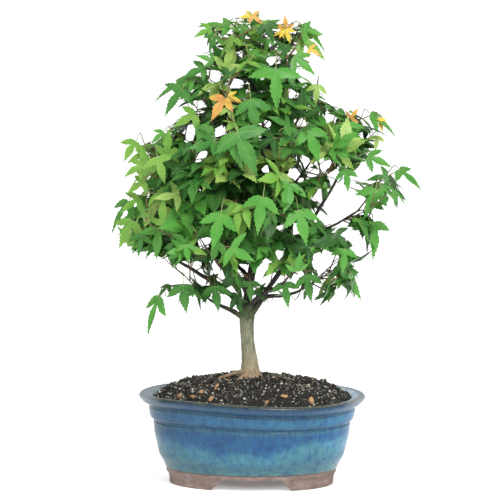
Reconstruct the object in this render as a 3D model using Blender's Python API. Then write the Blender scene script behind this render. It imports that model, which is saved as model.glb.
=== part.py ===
"""Potted trident maple: a small trained tree in an oval glazed pot.

Metres, +Z up. The origin is on the ground, under the middle of the whole plant's box.
The front of the pot faces -Y. The pot, its base and feet, the soil, the trunk, the
boughs and the masses of leaves are separate solids.
"""

import math

import bmesh
import bpy
import numpy as np
from mathutils import Vector
from mathutils.bvhtree import BVHTree

MM = 0.001
UPRIGHT = np.array((0.0, 0.0, 1.0))

# Where the pot's centre stands, so that the whole plant's box is centred on the origin.
POT_X = -11.0 * MM
POT_Y = 0.1 * MM

# Pot: an oval bowl with a broad rolled lip, a collar and a step below it.
POT_LENGTH = 206.0 * MM
POT_DEPTH = 145.0 * MM
POT_HEIGHT = 83.0 * MM
POT_SIDES = 36
WALL = 5.0 * MM
LIP_WIDTH = 12.5 * MM
LIP_NOSE = 2.8 * MM
LIP_TURN = (-35.0, 90.0)
LIP_STEPS = 4
LIP_UNDER_SHARE = 0.42
LIP_UNDER_RISE = 2.4 * MM
LIP_INNER_ROUND = 1.5 * MM
LIP_INNER_DROP = 2.2 * MM
NECK_INSET = 8.8 * MM
NECK_HEIGHT = 72.4 * MM
COLLAR_INSET = 9.7 * MM
COLLAR_FOOT = 61.5 * MM
COLLAR_CHAMFER = 0.8 * MM
COLLAR_CHAMFER_RISE = 2.0 * MM
STEP_INSET = 13.4 * MM
STEP_HEIGHT = 57.0 * MM
BODY_FOOT_INSET = 24.9 * MM
BODY_FOOT = 14.4 * MM
BODY_RINGS = 3
FLOOR_TOP = 20.0 * MM
FLOOR_CORNER = 1.5 * MM
INNER_LEVELS = (32.0 * MM, 55.0 * MM)

# Unglazed base plate, with two feet that leave an arch open from front to back.
BASE_UNDERSIDE = 10.6 * MM
BASE_INSET = 25.6 * MM
BASE_CHAMFER = 0.5 * MM
BASE_CHAMFER_RISE = 0.8 * MM
FOOT_INSET = 28.0 * MM
FOOT_EDGE = 0.9 * MM
FOOT_FLARE = 1.6 * MM
FOOT_LEVELS = (0.72, 0.86, 0.95, 1.0)
FOOT_ARC_STEPS = 14
ARCH_FOOT_HALF = 36.5 * MM
ARCH_TOP_HALF = 26.5 * MM
ARCH_CORNER = 2.5 * MM
DRAIN_RADIUS = 7.0 * MM
DRAIN_SPACING = 16.5 * MM
DRAIN_SIDES = 16
CUTTER_PAST = 5.0 * MM

# Clearance between pieces that bear on each other.
SEAT = 0.3 * MM

# Soil: a broad mound that fills the pot.
SOIL_EDGE = 78.5 * MM
SOIL_RISE = 16.5 * MM
SOIL_POWER = 5.0
SOIL_RINGS = (0.96, 0.86, 0.7, 0.3)
SOIL_CORNER = 2.0 * MM

# Trunk: it leans a little to the left on its way up to the fork. From here on, limbs and
# leaves are worked out in millimetres from the pot's centre line.
TRUNK_SIDES = 16
TRUNK_STEPS = 11
TRUNK_COURSE = (
    (-2.0, 0.0, 95.3),
    (-2.6, 0.0, 112.0),
    (-4.6, 0.3, 132.0),
    (-5.4, 0.4, 148.0),
    (-5.0, 0.3, 166.0),
)
# Trunk radius at heights above its foot.
TRUNK_GIRTH = (
    (0.0, 10.5),
    (3.0, 8.8),
    (8.0, 7.2),
    (16.0, 6.4),
    (36.0, 5.9),
    (50.0, 6.6),
    (60.0, 7.6),
    (70.7, 5.6),
)
# Surface roots: direction in degrees, length, thickness at the trunk.
ROOTS = ((183.0, 27.0, 4.2), (232.0, 20.0, 3.4), (335.0, 19.0, 3.8), (70.0, 17.0, 3.6))
ROOT_SIDES = 6
ROOT_STEPS = 6
ROOT_RISE = 3.4
ROOT_DIVE = 5.6
ROOT_DIVE_POWER = 1.5
ROOT_SWAY = 0.09
ROOT_THINNING = 0.62
GROUND_REACH = 60.0 * MM
GROUND_DEPTH = 30.0 * MM

# Leader: the stem that runs on up inside the crown.
LEADER_COURSE = (
    (-5.0, 0.3, 166.3),
    (-2.0, 2.0, 190.0),
    (5.0, 3.0, 228.0),
    (15.0, 2.0, 268.0),
    (20.0, 0.0, 308.0),
    (19.0, 0.0, 345.0),
    (13.0, 0.0, 368.0),
)
LEADER_FOOT_RADIUS = 4.4
LEADER_TIP_RADIUS = 1.3
LEADER_TAPER = 0.8
LEADER_SIDES = 7
LEADER_STEPS = 12

# Boughs: one for each mass of leaves but the top one, which sits on the leader.
BOUGH_SIDES = 5
BOUGH_STEPS = 6
BOUGH_RADIUS = 2.1
LOW_BOUGH_RADIUS = 2.6
BOUGH_TIP_RADIUS = 1.1
BOUGH_LEAN = 42.0
LOW_BOUGH_LEAN = 26.0
LOW_BOUGH_BELOW = 170.0
BOUGH_FOOT_PULL = 0.38
BOUGH_TIP_PULL = 0.34
BOUGH_TIP_RISE = 0.15
BOUGH_SHORT_OF_SITE = 26.0

# Masses of leaves: name, site of its cell, the limb that carries its bough, the height at
# which the bough leaves that limb, and the bearing it leaves in (None: towards the mass).
MASSES = (
    ("top_right", (28, -4, 394), "leader", None, None),
    ("top_left", (-24, 2, 396), "leader", 342, None),
    ("upper_left", (-46, 2, 350), "leader", 302, None),
    ("upper_right", (50, -8, 352), "leader", 314, None),
    ("upper_front", (-4, -44, 335), "leader", 286, None),
    ("upper_back", (4, 46, 338), "leader", 294, None),
    ("mid_left", (-80, -12, 288), "leader", 240, None),
    ("mid_right", (88, -6, 308), "trunk", 153, -25),
    ("mid_front", (20, -62, 272), "leader", 222, None),
    ("mid_front_left", (-40, -54, 282), "leader", 262, None),
    ("mid_back", (-12, 66, 278), "leader", 231, None),
    ("back_right", (52, 56, 290), "leader", 252, None),
    ("right", (100, 8, 254), "leader", 206, 20),
    ("low_left", (-94, 6, 228), "trunk", 158, 155),
    ("front_left", (-44, -58, 226), "leader", 177, -130),
    ("front_right", (42, -58, 212), "trunk", 157, -78),
    ("low_back", (-40, 60, 222), "leader", 186, None),
    ("low_back_right", (46, 58, 224), "leader", 214, None),
    ("skirt_right", (64, -4, 192), "trunk", 160, 30),
    ("skirt_left", (-58, -14, 188), "trunk", 151, 208),
)

# The crown's reach from the pot's centre line at heights: height, left, right, front, back.
CROWN_REACH = (
    (148, 62, 30, 46, 46),
    (164, 86, 60, 62, 62),
    (176, 92, 98, 76, 78),
    (200, 104, 104, 92, 94),
    (226, 129, 118, 100, 102),
    (256, 120, 138, 106, 106),
    (284, 114, 132, 106, 106),
    (310, 110, 130, 98, 100),
    (330, 92, 116, 90, 92),
    (350, 90, 86, 80, 82),
    (372, 68, 62, 66, 66),
    (404, 54, 64, 52, 52),
    (418, 50, 60, 44, 44),
    (426, 30, 34, 30, 30),
    (431, 12, 12, 12, 12),
)
CROWN_SQUARENESS = 2.6
CROWN_HEART = np.array((2.0, 0.0, 262.0))

# Each mass is sown by its place in the list, but for those sown anew, whose leaves grazed.
FIRST_SEED = 100
SOWN_ANEW = {"top_left": 201, "upper_back": 206}

# Furthest leaves: by mass, where each hangs on its twig and the way its tip points.
SHOOTS = {
    "right": (((151, 0, 269), (0.8, -0.25, -0.55), 27), ((107, -22, 208), (0.1, -0.25, -0.96), 33)),
    "low_left": (((-129, -4, 226), (-0.55, -0.2, -0.8), 34),),
    "skirt_left": (((-95, -22, 136), (-0.35, -0.1, -0.93), 38),),
    "skirt_right": (((98, -10, 169), (0.6, -0.1, -0.78), 34),),
    "mid_right": (((129, -4, 318), (0.85, 0.0, -0.5), 32),),
    "upper_left": (((-92, 0, 347), (-0.9, 0.0, -0.42), 34),),
    "top_left": (((-53, 0, 413), (-0.97, 0.0, 0.05), 29), ((3, 0, 430), (0.2, 0.0, 0.98), 25)),
    "top_right": (((64, -4, 393), (0.8, 0.0, -0.6), 32),),
}
SHOOT_START = 0.45
SHOOT_FACING = (0.0, -0.5, 0.6)
SHOOT_OUTWARD = 0.6
SHOOT_STALK = 0.2
SHOOT_LIFT = 1.5
CELL_GAP = 0.15
LIMB_GAP = 0.6

# Twigs: a stem for each mass, and twigs all round it in turns of the golden angle.
GOLDEN_ANGLE = math.pi * (3.0 - math.sqrt(5.0))
TWIG_SIDES = 3
STEM_RADIUS = 1.5
TWIG_RADIUS = 1.2
TWIG_TIP_RADIUS = 0.9
TWIGS_A_MASS = 7
TWIGS_FROM = 0.12
TWIGS_SPAN = 0.78
TWIG_TURN_STRAY = 0.3
TWIG_SPREAD = 60.0
TWIG_SPREAD_LOSS = 20.0
TWIG_LENGTH = 31.0
TWIG_LENGTH_STRAY = 0.15
TWIG_RISE = 0.1
TWIG_TRIES = 8
TWIG_CUT = 0.84
SHORTEST_STEM = 8.0
STEM_CUT = 3.0
STEM_PAST_SITE = 16.0

# Leaves: in pairs along each twig, each pair turned from the one before.
LEAVES_A_MASS = 18
PAIR_PLACES = (1.0, 0.76, 0.52, 0.3)
PAIR_TURN_A_TWIG = 0.8
PAIR_TURN_ALONG = 1.5 * math.pi
PAIR_OFFSET = 1.3
PAIR_LEAN = 0.5
LAST_PAIR = 0.96
LEAF_LENGTH = (35.0, 45.0)
LEAF_THICKNESS = 0.026
STALK_LENGTH = (0.2, 0.4)
STALK_OUTWARD = 0.25
STALK_STRAY = 0.6
STALK_FREE = 3.0
ROOT_SUNK = 0.4
BLADE_ALONG_STALK = 0.45
BLADE_OUTWARD = 0.45
BLADE_HANG = 0.62
FACE_OUTWARD = 0.75
FACE_UP = 0.55
FACE_STRAY = 0.7
FLATTEST = 0.2
STRAIGHTEST = 0.25
STRAY = 0.25
STRAY_GROWTH = 0.9
LEAF_TRIES = 40
LEAF_SHRINK = 0.35

# Leaf outline in leaf lengths, from the foot of the blade round to the other side.
SHOULDER = (0.035, -0.02)
SIDE_TIP = (0.6, 0.26)
SINUS = (0.23, 0.42)
LEAF_HEART = 0.2
SIDE_DROOP = 0.10
SINUS_DROOP = 0.03
TIP_DROOP = 0.16


def clear_scene():
    for thing in list(bpy.data.objects):
        bpy.data.objects.remove(thing, do_unlink=True)


def make_material(name, colour, roughness):
    material = bpy.data.materials.new(name)
    material.use_nodes = True
    shader = material.node_tree.nodes["Principled BSDF"]
    shader.inputs["Base Color"].default_value = (*colour, 1.0)
    shader.inputs["Roughness"].default_value = roughness
    shader.inputs["Metallic"].default_value = 0.0
    return material


def add_object(name, verts, faces, material, collection=None):
    mesh = bpy.data.meshes.new(name)
    mesh.from_pydata([tuple(v) for v in verts], [], faces)
    mesh.materials.append(material)
    thing = bpy.data.objects.new(name, mesh)
    (collection or bpy.context.scene.collection).objects.link(thing)
    return thing


def in_place(points):
    """Millimetres from the pot's centre line to metres in the part's frame."""
    return np.asarray(points, float) * MM + np.array((POT_X, POT_Y, 0.0))


def smooth(thing):
    thing.data.shade_smooth()
    thing.data.set_sharp_from_angle(angle=math.radians(40))


def oval(inset, height, sides=POT_SIDES):
    """Ring of points on the pot's oval, drawn in from the lip's outer edge."""
    a = POT_LENGTH / 2 - inset
    b = POT_DEPTH / 2 - inset
    turns = [2 * math.pi * k / sides for k in range(sides)]
    return [(POT_X + a * math.cos(t), POT_Y + b * math.sin(t), height) for t in turns]


def loft(rings):
    """Faces between rings of equal size, with both ends closed."""
    count = len(rings[0])
    faces = [tuple(reversed(range(count)))]
    for k in range(len(rings) - 1):
        low, high = k * count, (k + 1) * count
        for j in range(count):
            n = (j + 1) % count
            faces.append((low + j, low + n, high + n, high + j))
    last = (len(rings) - 1) * count
    faces.append(tuple(range(last, last + count)))
    return [p for ring in rings for p in ring], faces


def apply_boolean(thing, operation, other=None, collection=None, solver="EXACT"):
    """Booleans thing with an object or a collection, and removes what it was cut or joined with."""
    boolean = thing.modifiers.new(operation, "BOOLEAN")
    boolean.operation = operation
    boolean.solver = solver
    if collection:
        boolean.operand_type = "COLLECTION"
        boolean.collection = collection
    else:
        boolean.object = other
    bpy.context.view_layer.update()
    seen = thing.evaluated_get(bpy.context.evaluated_depsgraph_get())
    done = bpy.data.meshes.new_from_object(seen)
    thing.modifiers.clear()
    thing.data = done
    spent = list(collection.objects) if collection else [other]
    for piece in spent:
        bpy.data.objects.remove(piece, do_unlink=True)
    if collection:
        bpy.data.collections.remove(collection)


def body_inset(height):
    """The bowl's outside below the step: it draws in faster towards its foot."""
    drop = (STEP_HEIGHT - height) / (STEP_HEIGHT - BODY_FOOT)
    return STEP_INSET + (BODY_FOOT_INSET - STEP_INSET) * drop**2


def lip_rings():
    """The rolled lip, from the neck round its nose to the inner edge."""
    nose = POT_HEIGHT - LIP_NOSE
    rings = [(LIP_UNDER_SHARE * NECK_INSET, NECK_HEIGHT + LIP_UNDER_RISE)]
    for degrees in np.linspace(*LIP_TURN, LIP_STEPS):
        turn = math.radians(degrees)
        rings.append((LIP_NOSE * (1 - math.cos(turn)), nose + LIP_NOSE * math.sin(turn)))
    rings.append((LIP_WIDTH - LIP_INNER_ROUND, POT_HEIGHT - LIP_INNER_DROP))
    rings.append((LIP_WIDTH, POT_HEIGHT - LIP_INNER_DROP - 0.8 * LIP_INNER_ROUND))
    return rings


def inner_inset(height):
    if height >= STEP_HEIGHT:
        share = (POT_HEIGHT - height) / (POT_HEIGHT - STEP_HEIGHT)
        return LIP_WIDTH + (STEP_INSET + WALL - LIP_WIDTH) * share
    return body_inset(height) + WALL


def drain_hole(side, low, high, material):
    turns = [2 * math.pi * k / DRAIN_SIDES for k in range(DRAIN_SIDES)]
    middle = POT_X + side * DRAIN_SPACING
    ring = [(middle + DRAIN_RADIUS * math.cos(t), POT_Y + DRAIN_RADIUS * math.sin(t)) for t in turns]
    verts, faces = loft([[(x, y, low) for x, y in ring], [(x, y, high) for x, y in ring]])
    return add_object("drain_cutter", verts, faces, material)


def pierce(thing, low, high):
    """Cuts the two drain holes through, well past both faces."""
    clay = thing.data.materials[0]
    for side in (-1, 1):
        apply_boolean(thing, "DIFFERENCE", drain_hole(side, low - CUTTER_PAST, high + CUTTER_PAST, clay))


def make_pot_body(glaze):
    low = BODY_FOOT + SEAT
    levels = np.linspace(low, STEP_HEIGHT, BODY_RINGS + 1)
    outside = [(body_inset(z), z) for z in levels]
    outside.append((COLLAR_INSET + COLLAR_CHAMFER, COLLAR_FOOT))
    outside.append((COLLAR_INSET, COLLAR_FOOT + COLLAR_CHAMFER_RISE))
    outside.append((NECK_INSET, NECK_HEIGHT))
    inside = [(inner_inset(z), z) for z in reversed(INNER_LEVELS)]
    inside.append((inner_inset(FLOOR_TOP) + FLOOR_CORNER, FLOOR_TOP))
    profile = outside + lip_rings() + inside
    verts, faces = loft([oval(inset, z) for inset, z in profile])
    pot = add_object("pot_body", verts, faces, glaze)
    pierce(pot, low, FLOOR_TOP)
    smooth(pot)


def make_pot_base(clay):
    profile = (
        (BASE_INSET + BASE_CHAMFER, BASE_UNDERSIDE),
        (BASE_INSET, BASE_UNDERSIDE + BASE_CHAMFER_RISE),
        (BODY_FOOT_INSET, BODY_FOOT),
    )
    verts, faces = loft([oval(inset, z) for inset, z in profile])
    base = add_object("pot_base", verts, faces, clay)
    pierce(base, BASE_UNDERSIDE, BODY_FOOT)
    smooth(base)


def arch_half(height):
    """Half the arch's opening: sloped sides that turn in with a round corner at the top."""
    top = BASE_UNDERSIDE - SEAT
    slope_top = ARCH_TOP_HALF + ARCH_CORNER
    straight = top - ARCH_CORNER
    if height <= straight:
        return ARCH_FOOT_HALF + (slope_top - ARCH_FOOT_HALF) * height / straight
    rise = (height - straight) / ARCH_CORNER
    return slope_top - ARCH_CORNER * (1 - math.sqrt(max(0.0, 1 - rise**2)))


def make_foot(name, side, clay):
    """One foot: the end of the oval, cut off by the arch's sloped side."""
    top = BASE_UNDERSIDE - SEAT
    levels = [0.0, FOOT_EDGE, *(share * top for share in FOOT_LEVELS)]
    rings = []
    for z in levels:
        chamfer = FOOT_EDGE if z == 0.0 else 0.0
        inset = FOOT_INSET + chamfer - FOOT_FLARE * (z / top) ** 4
        a = POT_LENGTH / 2 - inset
        b = POT_DEPTH / 2 - inset
        half = math.acos((arch_half(z) + chamfer) / a)
        turns = np.linspace(-half, half, FOOT_ARC_STEPS + 1)
        ring = [(POT_X + side * a * math.cos(t), POT_Y + side * b * math.sin(t), z) for t in turns]
        rings.append(ring)
    verts, faces = loft(rings)
    smooth(add_object(name, verts, faces, clay))


def make_soil(earth):
    profile = [(inner_inset(FLOOR_TOP) + SOIL_CORNER, FLOOR_TOP + SEAT)]
    profile += [(inner_inset(z) + SEAT, z) for z in (*INNER_LEVELS, SOIL_EDGE)]
    rings = [oval(inset, z) for inset, z in profile]
    middle = np.array((POT_X, POT_Y, 0.0))
    edge = np.array(rings[-1]) - middle
    for share in SOIL_RINGS:
        ring = edge * share + middle
        ring[:, 2] = SOIL_EDGE + SOIL_RISE * (1 - share**SOIL_POWER)
        rings.append(list(ring))
    verts, faces = loft(rings)
    smooth(add_object("soil", verts, faces, earth))


def unit(vector):
    vector = np.asarray(vector, float)
    return vector / np.linalg.norm(vector)


def course(points, count):
    """Even steps along a smooth curve (Catmull-Rom) through a few points."""
    p = np.asarray(points, float)
    p = np.vstack([2 * p[0] - p[1], p, 2 * p[-1] - p[-2]])
    fine = []
    for k in range(1, len(p) - 2):
        a, b, c, d = p[k - 1 : k + 3]
        for t in np.linspace(0, 1, 16, endpoint=False):
            square = (2 * a - 5 * b + 4 * c - d) * t**2
            cube = (3 * b - a - 3 * c + d) * t**3
            fine.append(0.5 * (2 * b + (c - a) * t + square + cube))
    fine.append(p[-2])
    fine = np.array(fine)
    run = np.concatenate([[0], np.cumsum(np.linalg.norm(np.diff(fine, axis=0), axis=1))])
    steps = np.linspace(0, run[-1], count)
    return np.stack([np.interp(steps, run, fine[:, k]) for k in range(3)], axis=1)


def frames(path):
    """A pair of cross directions at each point, carried along without twist."""
    ahead = np.gradient(path, axis=0)
    ahead /= np.linalg.norm(ahead, axis=1)[:, None]
    helper = (1, 0, 0) if abs(ahead[0][0]) < 0.8 else (0, 1, 0)
    side = unit(np.cross(ahead[0], helper))
    pairs = []
    for way in ahead:
        side = unit(side - way * np.dot(side, way))
        pairs.append((side, np.cross(way, side)))
    return ahead, pairs


def tube(path, radii, sides, seat=None, level_top=False):
    """A tapering limb along a path.

    With seat (point, normal), its foot is cut along that plane; its top may be cut level.
    """
    ahead, pairs = frames(path)
    turns = [2 * math.pi * k / sides for k in range(sides)]
    rings = []
    for point, radius, (u, v) in zip(path, radii, pairs):
        rings.append([point + radius * (math.cos(t) * u + math.sin(t) * v) for t in turns])
    if seat is not None:
        origin, normal = seat
        rings[0] = slid_to_plane(rings[0], ahead[0], origin, normal)
    if level_top:
        rings[-1] = slid_to_plane(rings[-1], ahead[-1], path[-1], UPRIGHT)
    return loft(rings)


def slid_to_plane(ring, way, origin, normal):
    """The ring's points moved along the limb's way until they lie in a plane."""
    return [p + way * (np.dot(origin - p, normal) / np.dot(way, normal)) for p in ring]


def limb_object(name, path, radii, sides, material, seat=None, level_top=False):
    verts, faces = tube(path, radii, sides, seat, level_top)
    limb = add_object(name, in_place(verts), faces, material)
    smooth(limb)
    return limb


def tree_of(verts, faces):
    return BVHTree.FromPolygons([Vector(v) for v in verts], faces)


def inflated(path, radii, sides):
    """The limb's shape with a clearance round it, for keeping leaves off it."""
    return tree_of(*tube(path, radii + LIMB_GAP, sides))


def trunk_shape():
    path = course(TRUNK_COURSE, TRUNK_STEPS)
    girth = np.array(TRUNK_GIRTH)
    return path, np.interp(path[:, 2] - path[0, 2], girth[:, 0], girth[:, 1]), TRUNK_SIDES


def make_root(foot, bearing, length, thick):
    """A surface root that leaves the flare above the soil and dives into it."""
    out = level_way(bearing)
    across = np.array((-out[1], out[0], 0.0))
    share = np.linspace(0, 1, ROOT_STEPS)[:, None]
    sway = np.sin(share * math.pi * 1.3) * ROOT_SWAY * length
    rise = (ROOT_RISE - ROOT_DIVE * share**ROOT_DIVE_POWER) * UPRIGHT
    spine = foot + out * length * share + across * sway + rise
    return tube(spine, thick * (1 - ROOT_THINNING * share[:, 0]), ROOT_SIDES)


def make_trunk(bark):
    """The trunk on its root flare, joined with its surface roots and cut flat at the soil."""
    path, radii, sides = trunk_shape()
    trunk = limb_object("trunk", path, radii, sides, bark, level_top=True)
    roots = bpy.data.collections.new("roots")
    bpy.context.scene.collection.children.link(roots)
    for root in ROOTS:
        verts, faces = make_root(path[0], *root)
        add_object("root", in_place(verts), faces, bark, roots)
    apply_boolean(trunk, "UNION", collection=roots)
    ground = SOIL_EDGE + SOIL_RISE + SEAT
    corners = ((-1, -1), (1, -1), (1, 1), (-1, 1))
    square = [(POT_X + x * GROUND_REACH, POT_Y + y * GROUND_REACH) for x, y in corners]
    verts, faces = loft([[(x, y, z) for x, y in square] for z in (ground - GROUND_DEPTH, ground)])
    apply_boolean(trunk, "DIFFERENCE", add_object("ground_cutter", verts, faces, bark))


def leader_shape():
    path = course(LEADER_COURSE, LEADER_STEPS)
    share = np.linspace(0, 1, len(path))
    radii = LEADER_FOOT_RADIUS + (LEADER_TIP_RADIUS - LEADER_FOOT_RADIUS) * share**LEADER_TAPER
    return path, radii, LEADER_SIDES


def level_way(bearing):
    turn = math.radians(bearing)
    return np.array((math.cos(turn), math.sin(turn), 0.0))


def standing_out(limb, middle, out, half):
    """How far the limb stands out from its middle within half a seat's height either way."""
    path, radii, sides = limb
    verts, _ = tube(path, radii, sides)
    rings = np.array(verts).reshape(len(path), sides, 3)
    reach = []
    for share in np.linspace(0, 1, 60):
        points = (rings[:-1] * (1 - share) + rings[1:] * share).reshape(-1, 3) - middle
        points = points[abs(points[:, 2]) <= half]
        reach.extend(points @ out)
    return max(reach)


def bough_shape(site, limb, height, bearing):
    """A curve that leaves its limb at a slant and rises into its mass, with its seat on the limb."""
    site = np.array(site, float)
    path = limb[0]
    middle = np.array([np.interp(height, path[:, 2], path[:, k]) for k in range(3)])
    if bearing is None:
        bearing = math.degrees(math.atan2(*(site - middle)[1::-1]))
    low = height < LOW_BOUGH_BELOW
    foot_radius = LOW_BOUGH_RADIUS if low else BOUGH_RADIUS
    lean = math.radians(LOW_BOUGH_LEAN if low else BOUGH_LEAN)
    out = level_way(bearing)
    seat_half = foot_radius / math.sin(lean)
    start = middle + out * (standing_out(limb, middle, out, seat_half) + SEAT / MM)
    first = out * math.sin(lean) + UPRIGHT * math.cos(lean)
    last = unit(unit(site - start) + (0, 0, BOUGH_TIP_RISE))
    tip = site - last * BOUGH_SHORT_OF_SITE
    span = np.linalg.norm(tip - start)
    near_start = start + first * span * BOUGH_FOOT_PULL
    near_tip = tip - last * span * BOUGH_TIP_PULL
    share = np.linspace(0, 1, BOUGH_STEPS + 1)[:, None]
    rest = 1 - share
    first_half = start * rest**3 + 3 * near_start * share * rest**2
    last_half = 3 * near_tip * share**2 * rest + tip * share**3
    radii = foot_radius + (BOUGH_TIP_RADIUS - foot_radius) * share[:, 0]
    return first_half + last_half, radii, (start, out)


def crown_reach(height):
    rows = np.array(CROWN_REACH, float)
    return [np.interp(height, rows[:, 0], rows[:, k]) for k in range(1, 5)]


def within_crown(points):
    """Whether points are inside the crown's outline: an oval of four quarters at each height."""
    for x, y, z in points:
        if not CROWN_REACH[0][0] <= z <= CROWN_REACH[-1][0]:
            return False
        left, right, front, back = crown_reach(z)
        a = left if x < 0 else right
        b = front if y < 0 else back
        if abs(x / a) ** CROWN_SQUARENESS + abs(y / b) ** CROWN_SQUARENESS > 1:
            return False
    return True


def within_cell(points, site, others):
    """Whether points are nearer to this mass's site than to any other, with half a gap to spare."""
    points = np.asarray(points)
    for other in others:
        between = other - site
        span = np.linalg.norm(between)
        if np.max((points - (site + other) / 2) @ (between / span)) > -CELL_GAP:
            return False
    return True


def leaf_solid(root, foot, lie, face, length):
    """A leaf of three pointed lobes with its stalk, as one closed solid that starts at the root.

    The lobes' ridges meet at the heart. It stands out on the side that the stalk comes from,
    so that the stalk stays solid: above the plane of the middle lobe, or below that of the foot.
    """
    across = np.cross(lie, face)
    frame = np.array((across, lie, face))
    sx, sy = SIDE_TIP
    nx, ny = SINUS
    hx, hy = SHOULDER
    right = [(hx, hy, 0), (sx, sy, -SIDE_DROOP), (nx, ny, -SINUS_DROOP)]
    left = [(-x, y, z) for x, y, z in reversed(right)]
    middle_lobe = (TIP_DROOP - SINUS_DROOP) * (ny - LEAF_HEART) / (1 - ny) - SINUS_DROOP
    foot_plane = -SINUS_DROOP * (LEAF_HEART - hy) / (ny - hy)
    stalk_above = np.dot(root - foot, face) > 0
    heart = middle_lobe + LEAF_THICKNESS if stalk_above else foot_plane - LEAF_THICKNESS
    shape = [*right, (0, 1, -TIP_DROOP), *left, (0, LEAF_HEART, heart)]
    verts = [root] + [foot + np.array(point) * length @ frame for point in shape]
    rim = 8
    faces = [(rim, k, (k + 1) % rim) for k in range(rim)]
    faces += [(0, 7, 1), (1, 7, 3), (7, 5, 3), (1, 3, 2), (7, 6, 5), (3, 5, 4)]
    if not stalk_above:
        faces = [tuple(reversed(corners)) for corners in faces]
    return verts, faces


def twig_path(start, way, length, joints=1):
    """A twig that turns upwards a little at each joint."""
    path = [np.array(start)]
    for _ in range(joints):
        way = unit(way + np.array((0, 0, TWIG_RISE)))
        path.append(path[-1] + way * length / joints)
    return np.array(path)


def along(path, share):
    run = np.linspace(0, 1, len(path))
    return np.array([np.interp(share, run, path[:, k]) for k in range(3)])


def cross_ways(way):
    """Two ways square to a twig and to each other, the first nearly level."""
    side = unit(np.cross(way, (0.2, 0.4, 1.0)))
    return side, np.cross(side, way)


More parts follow.
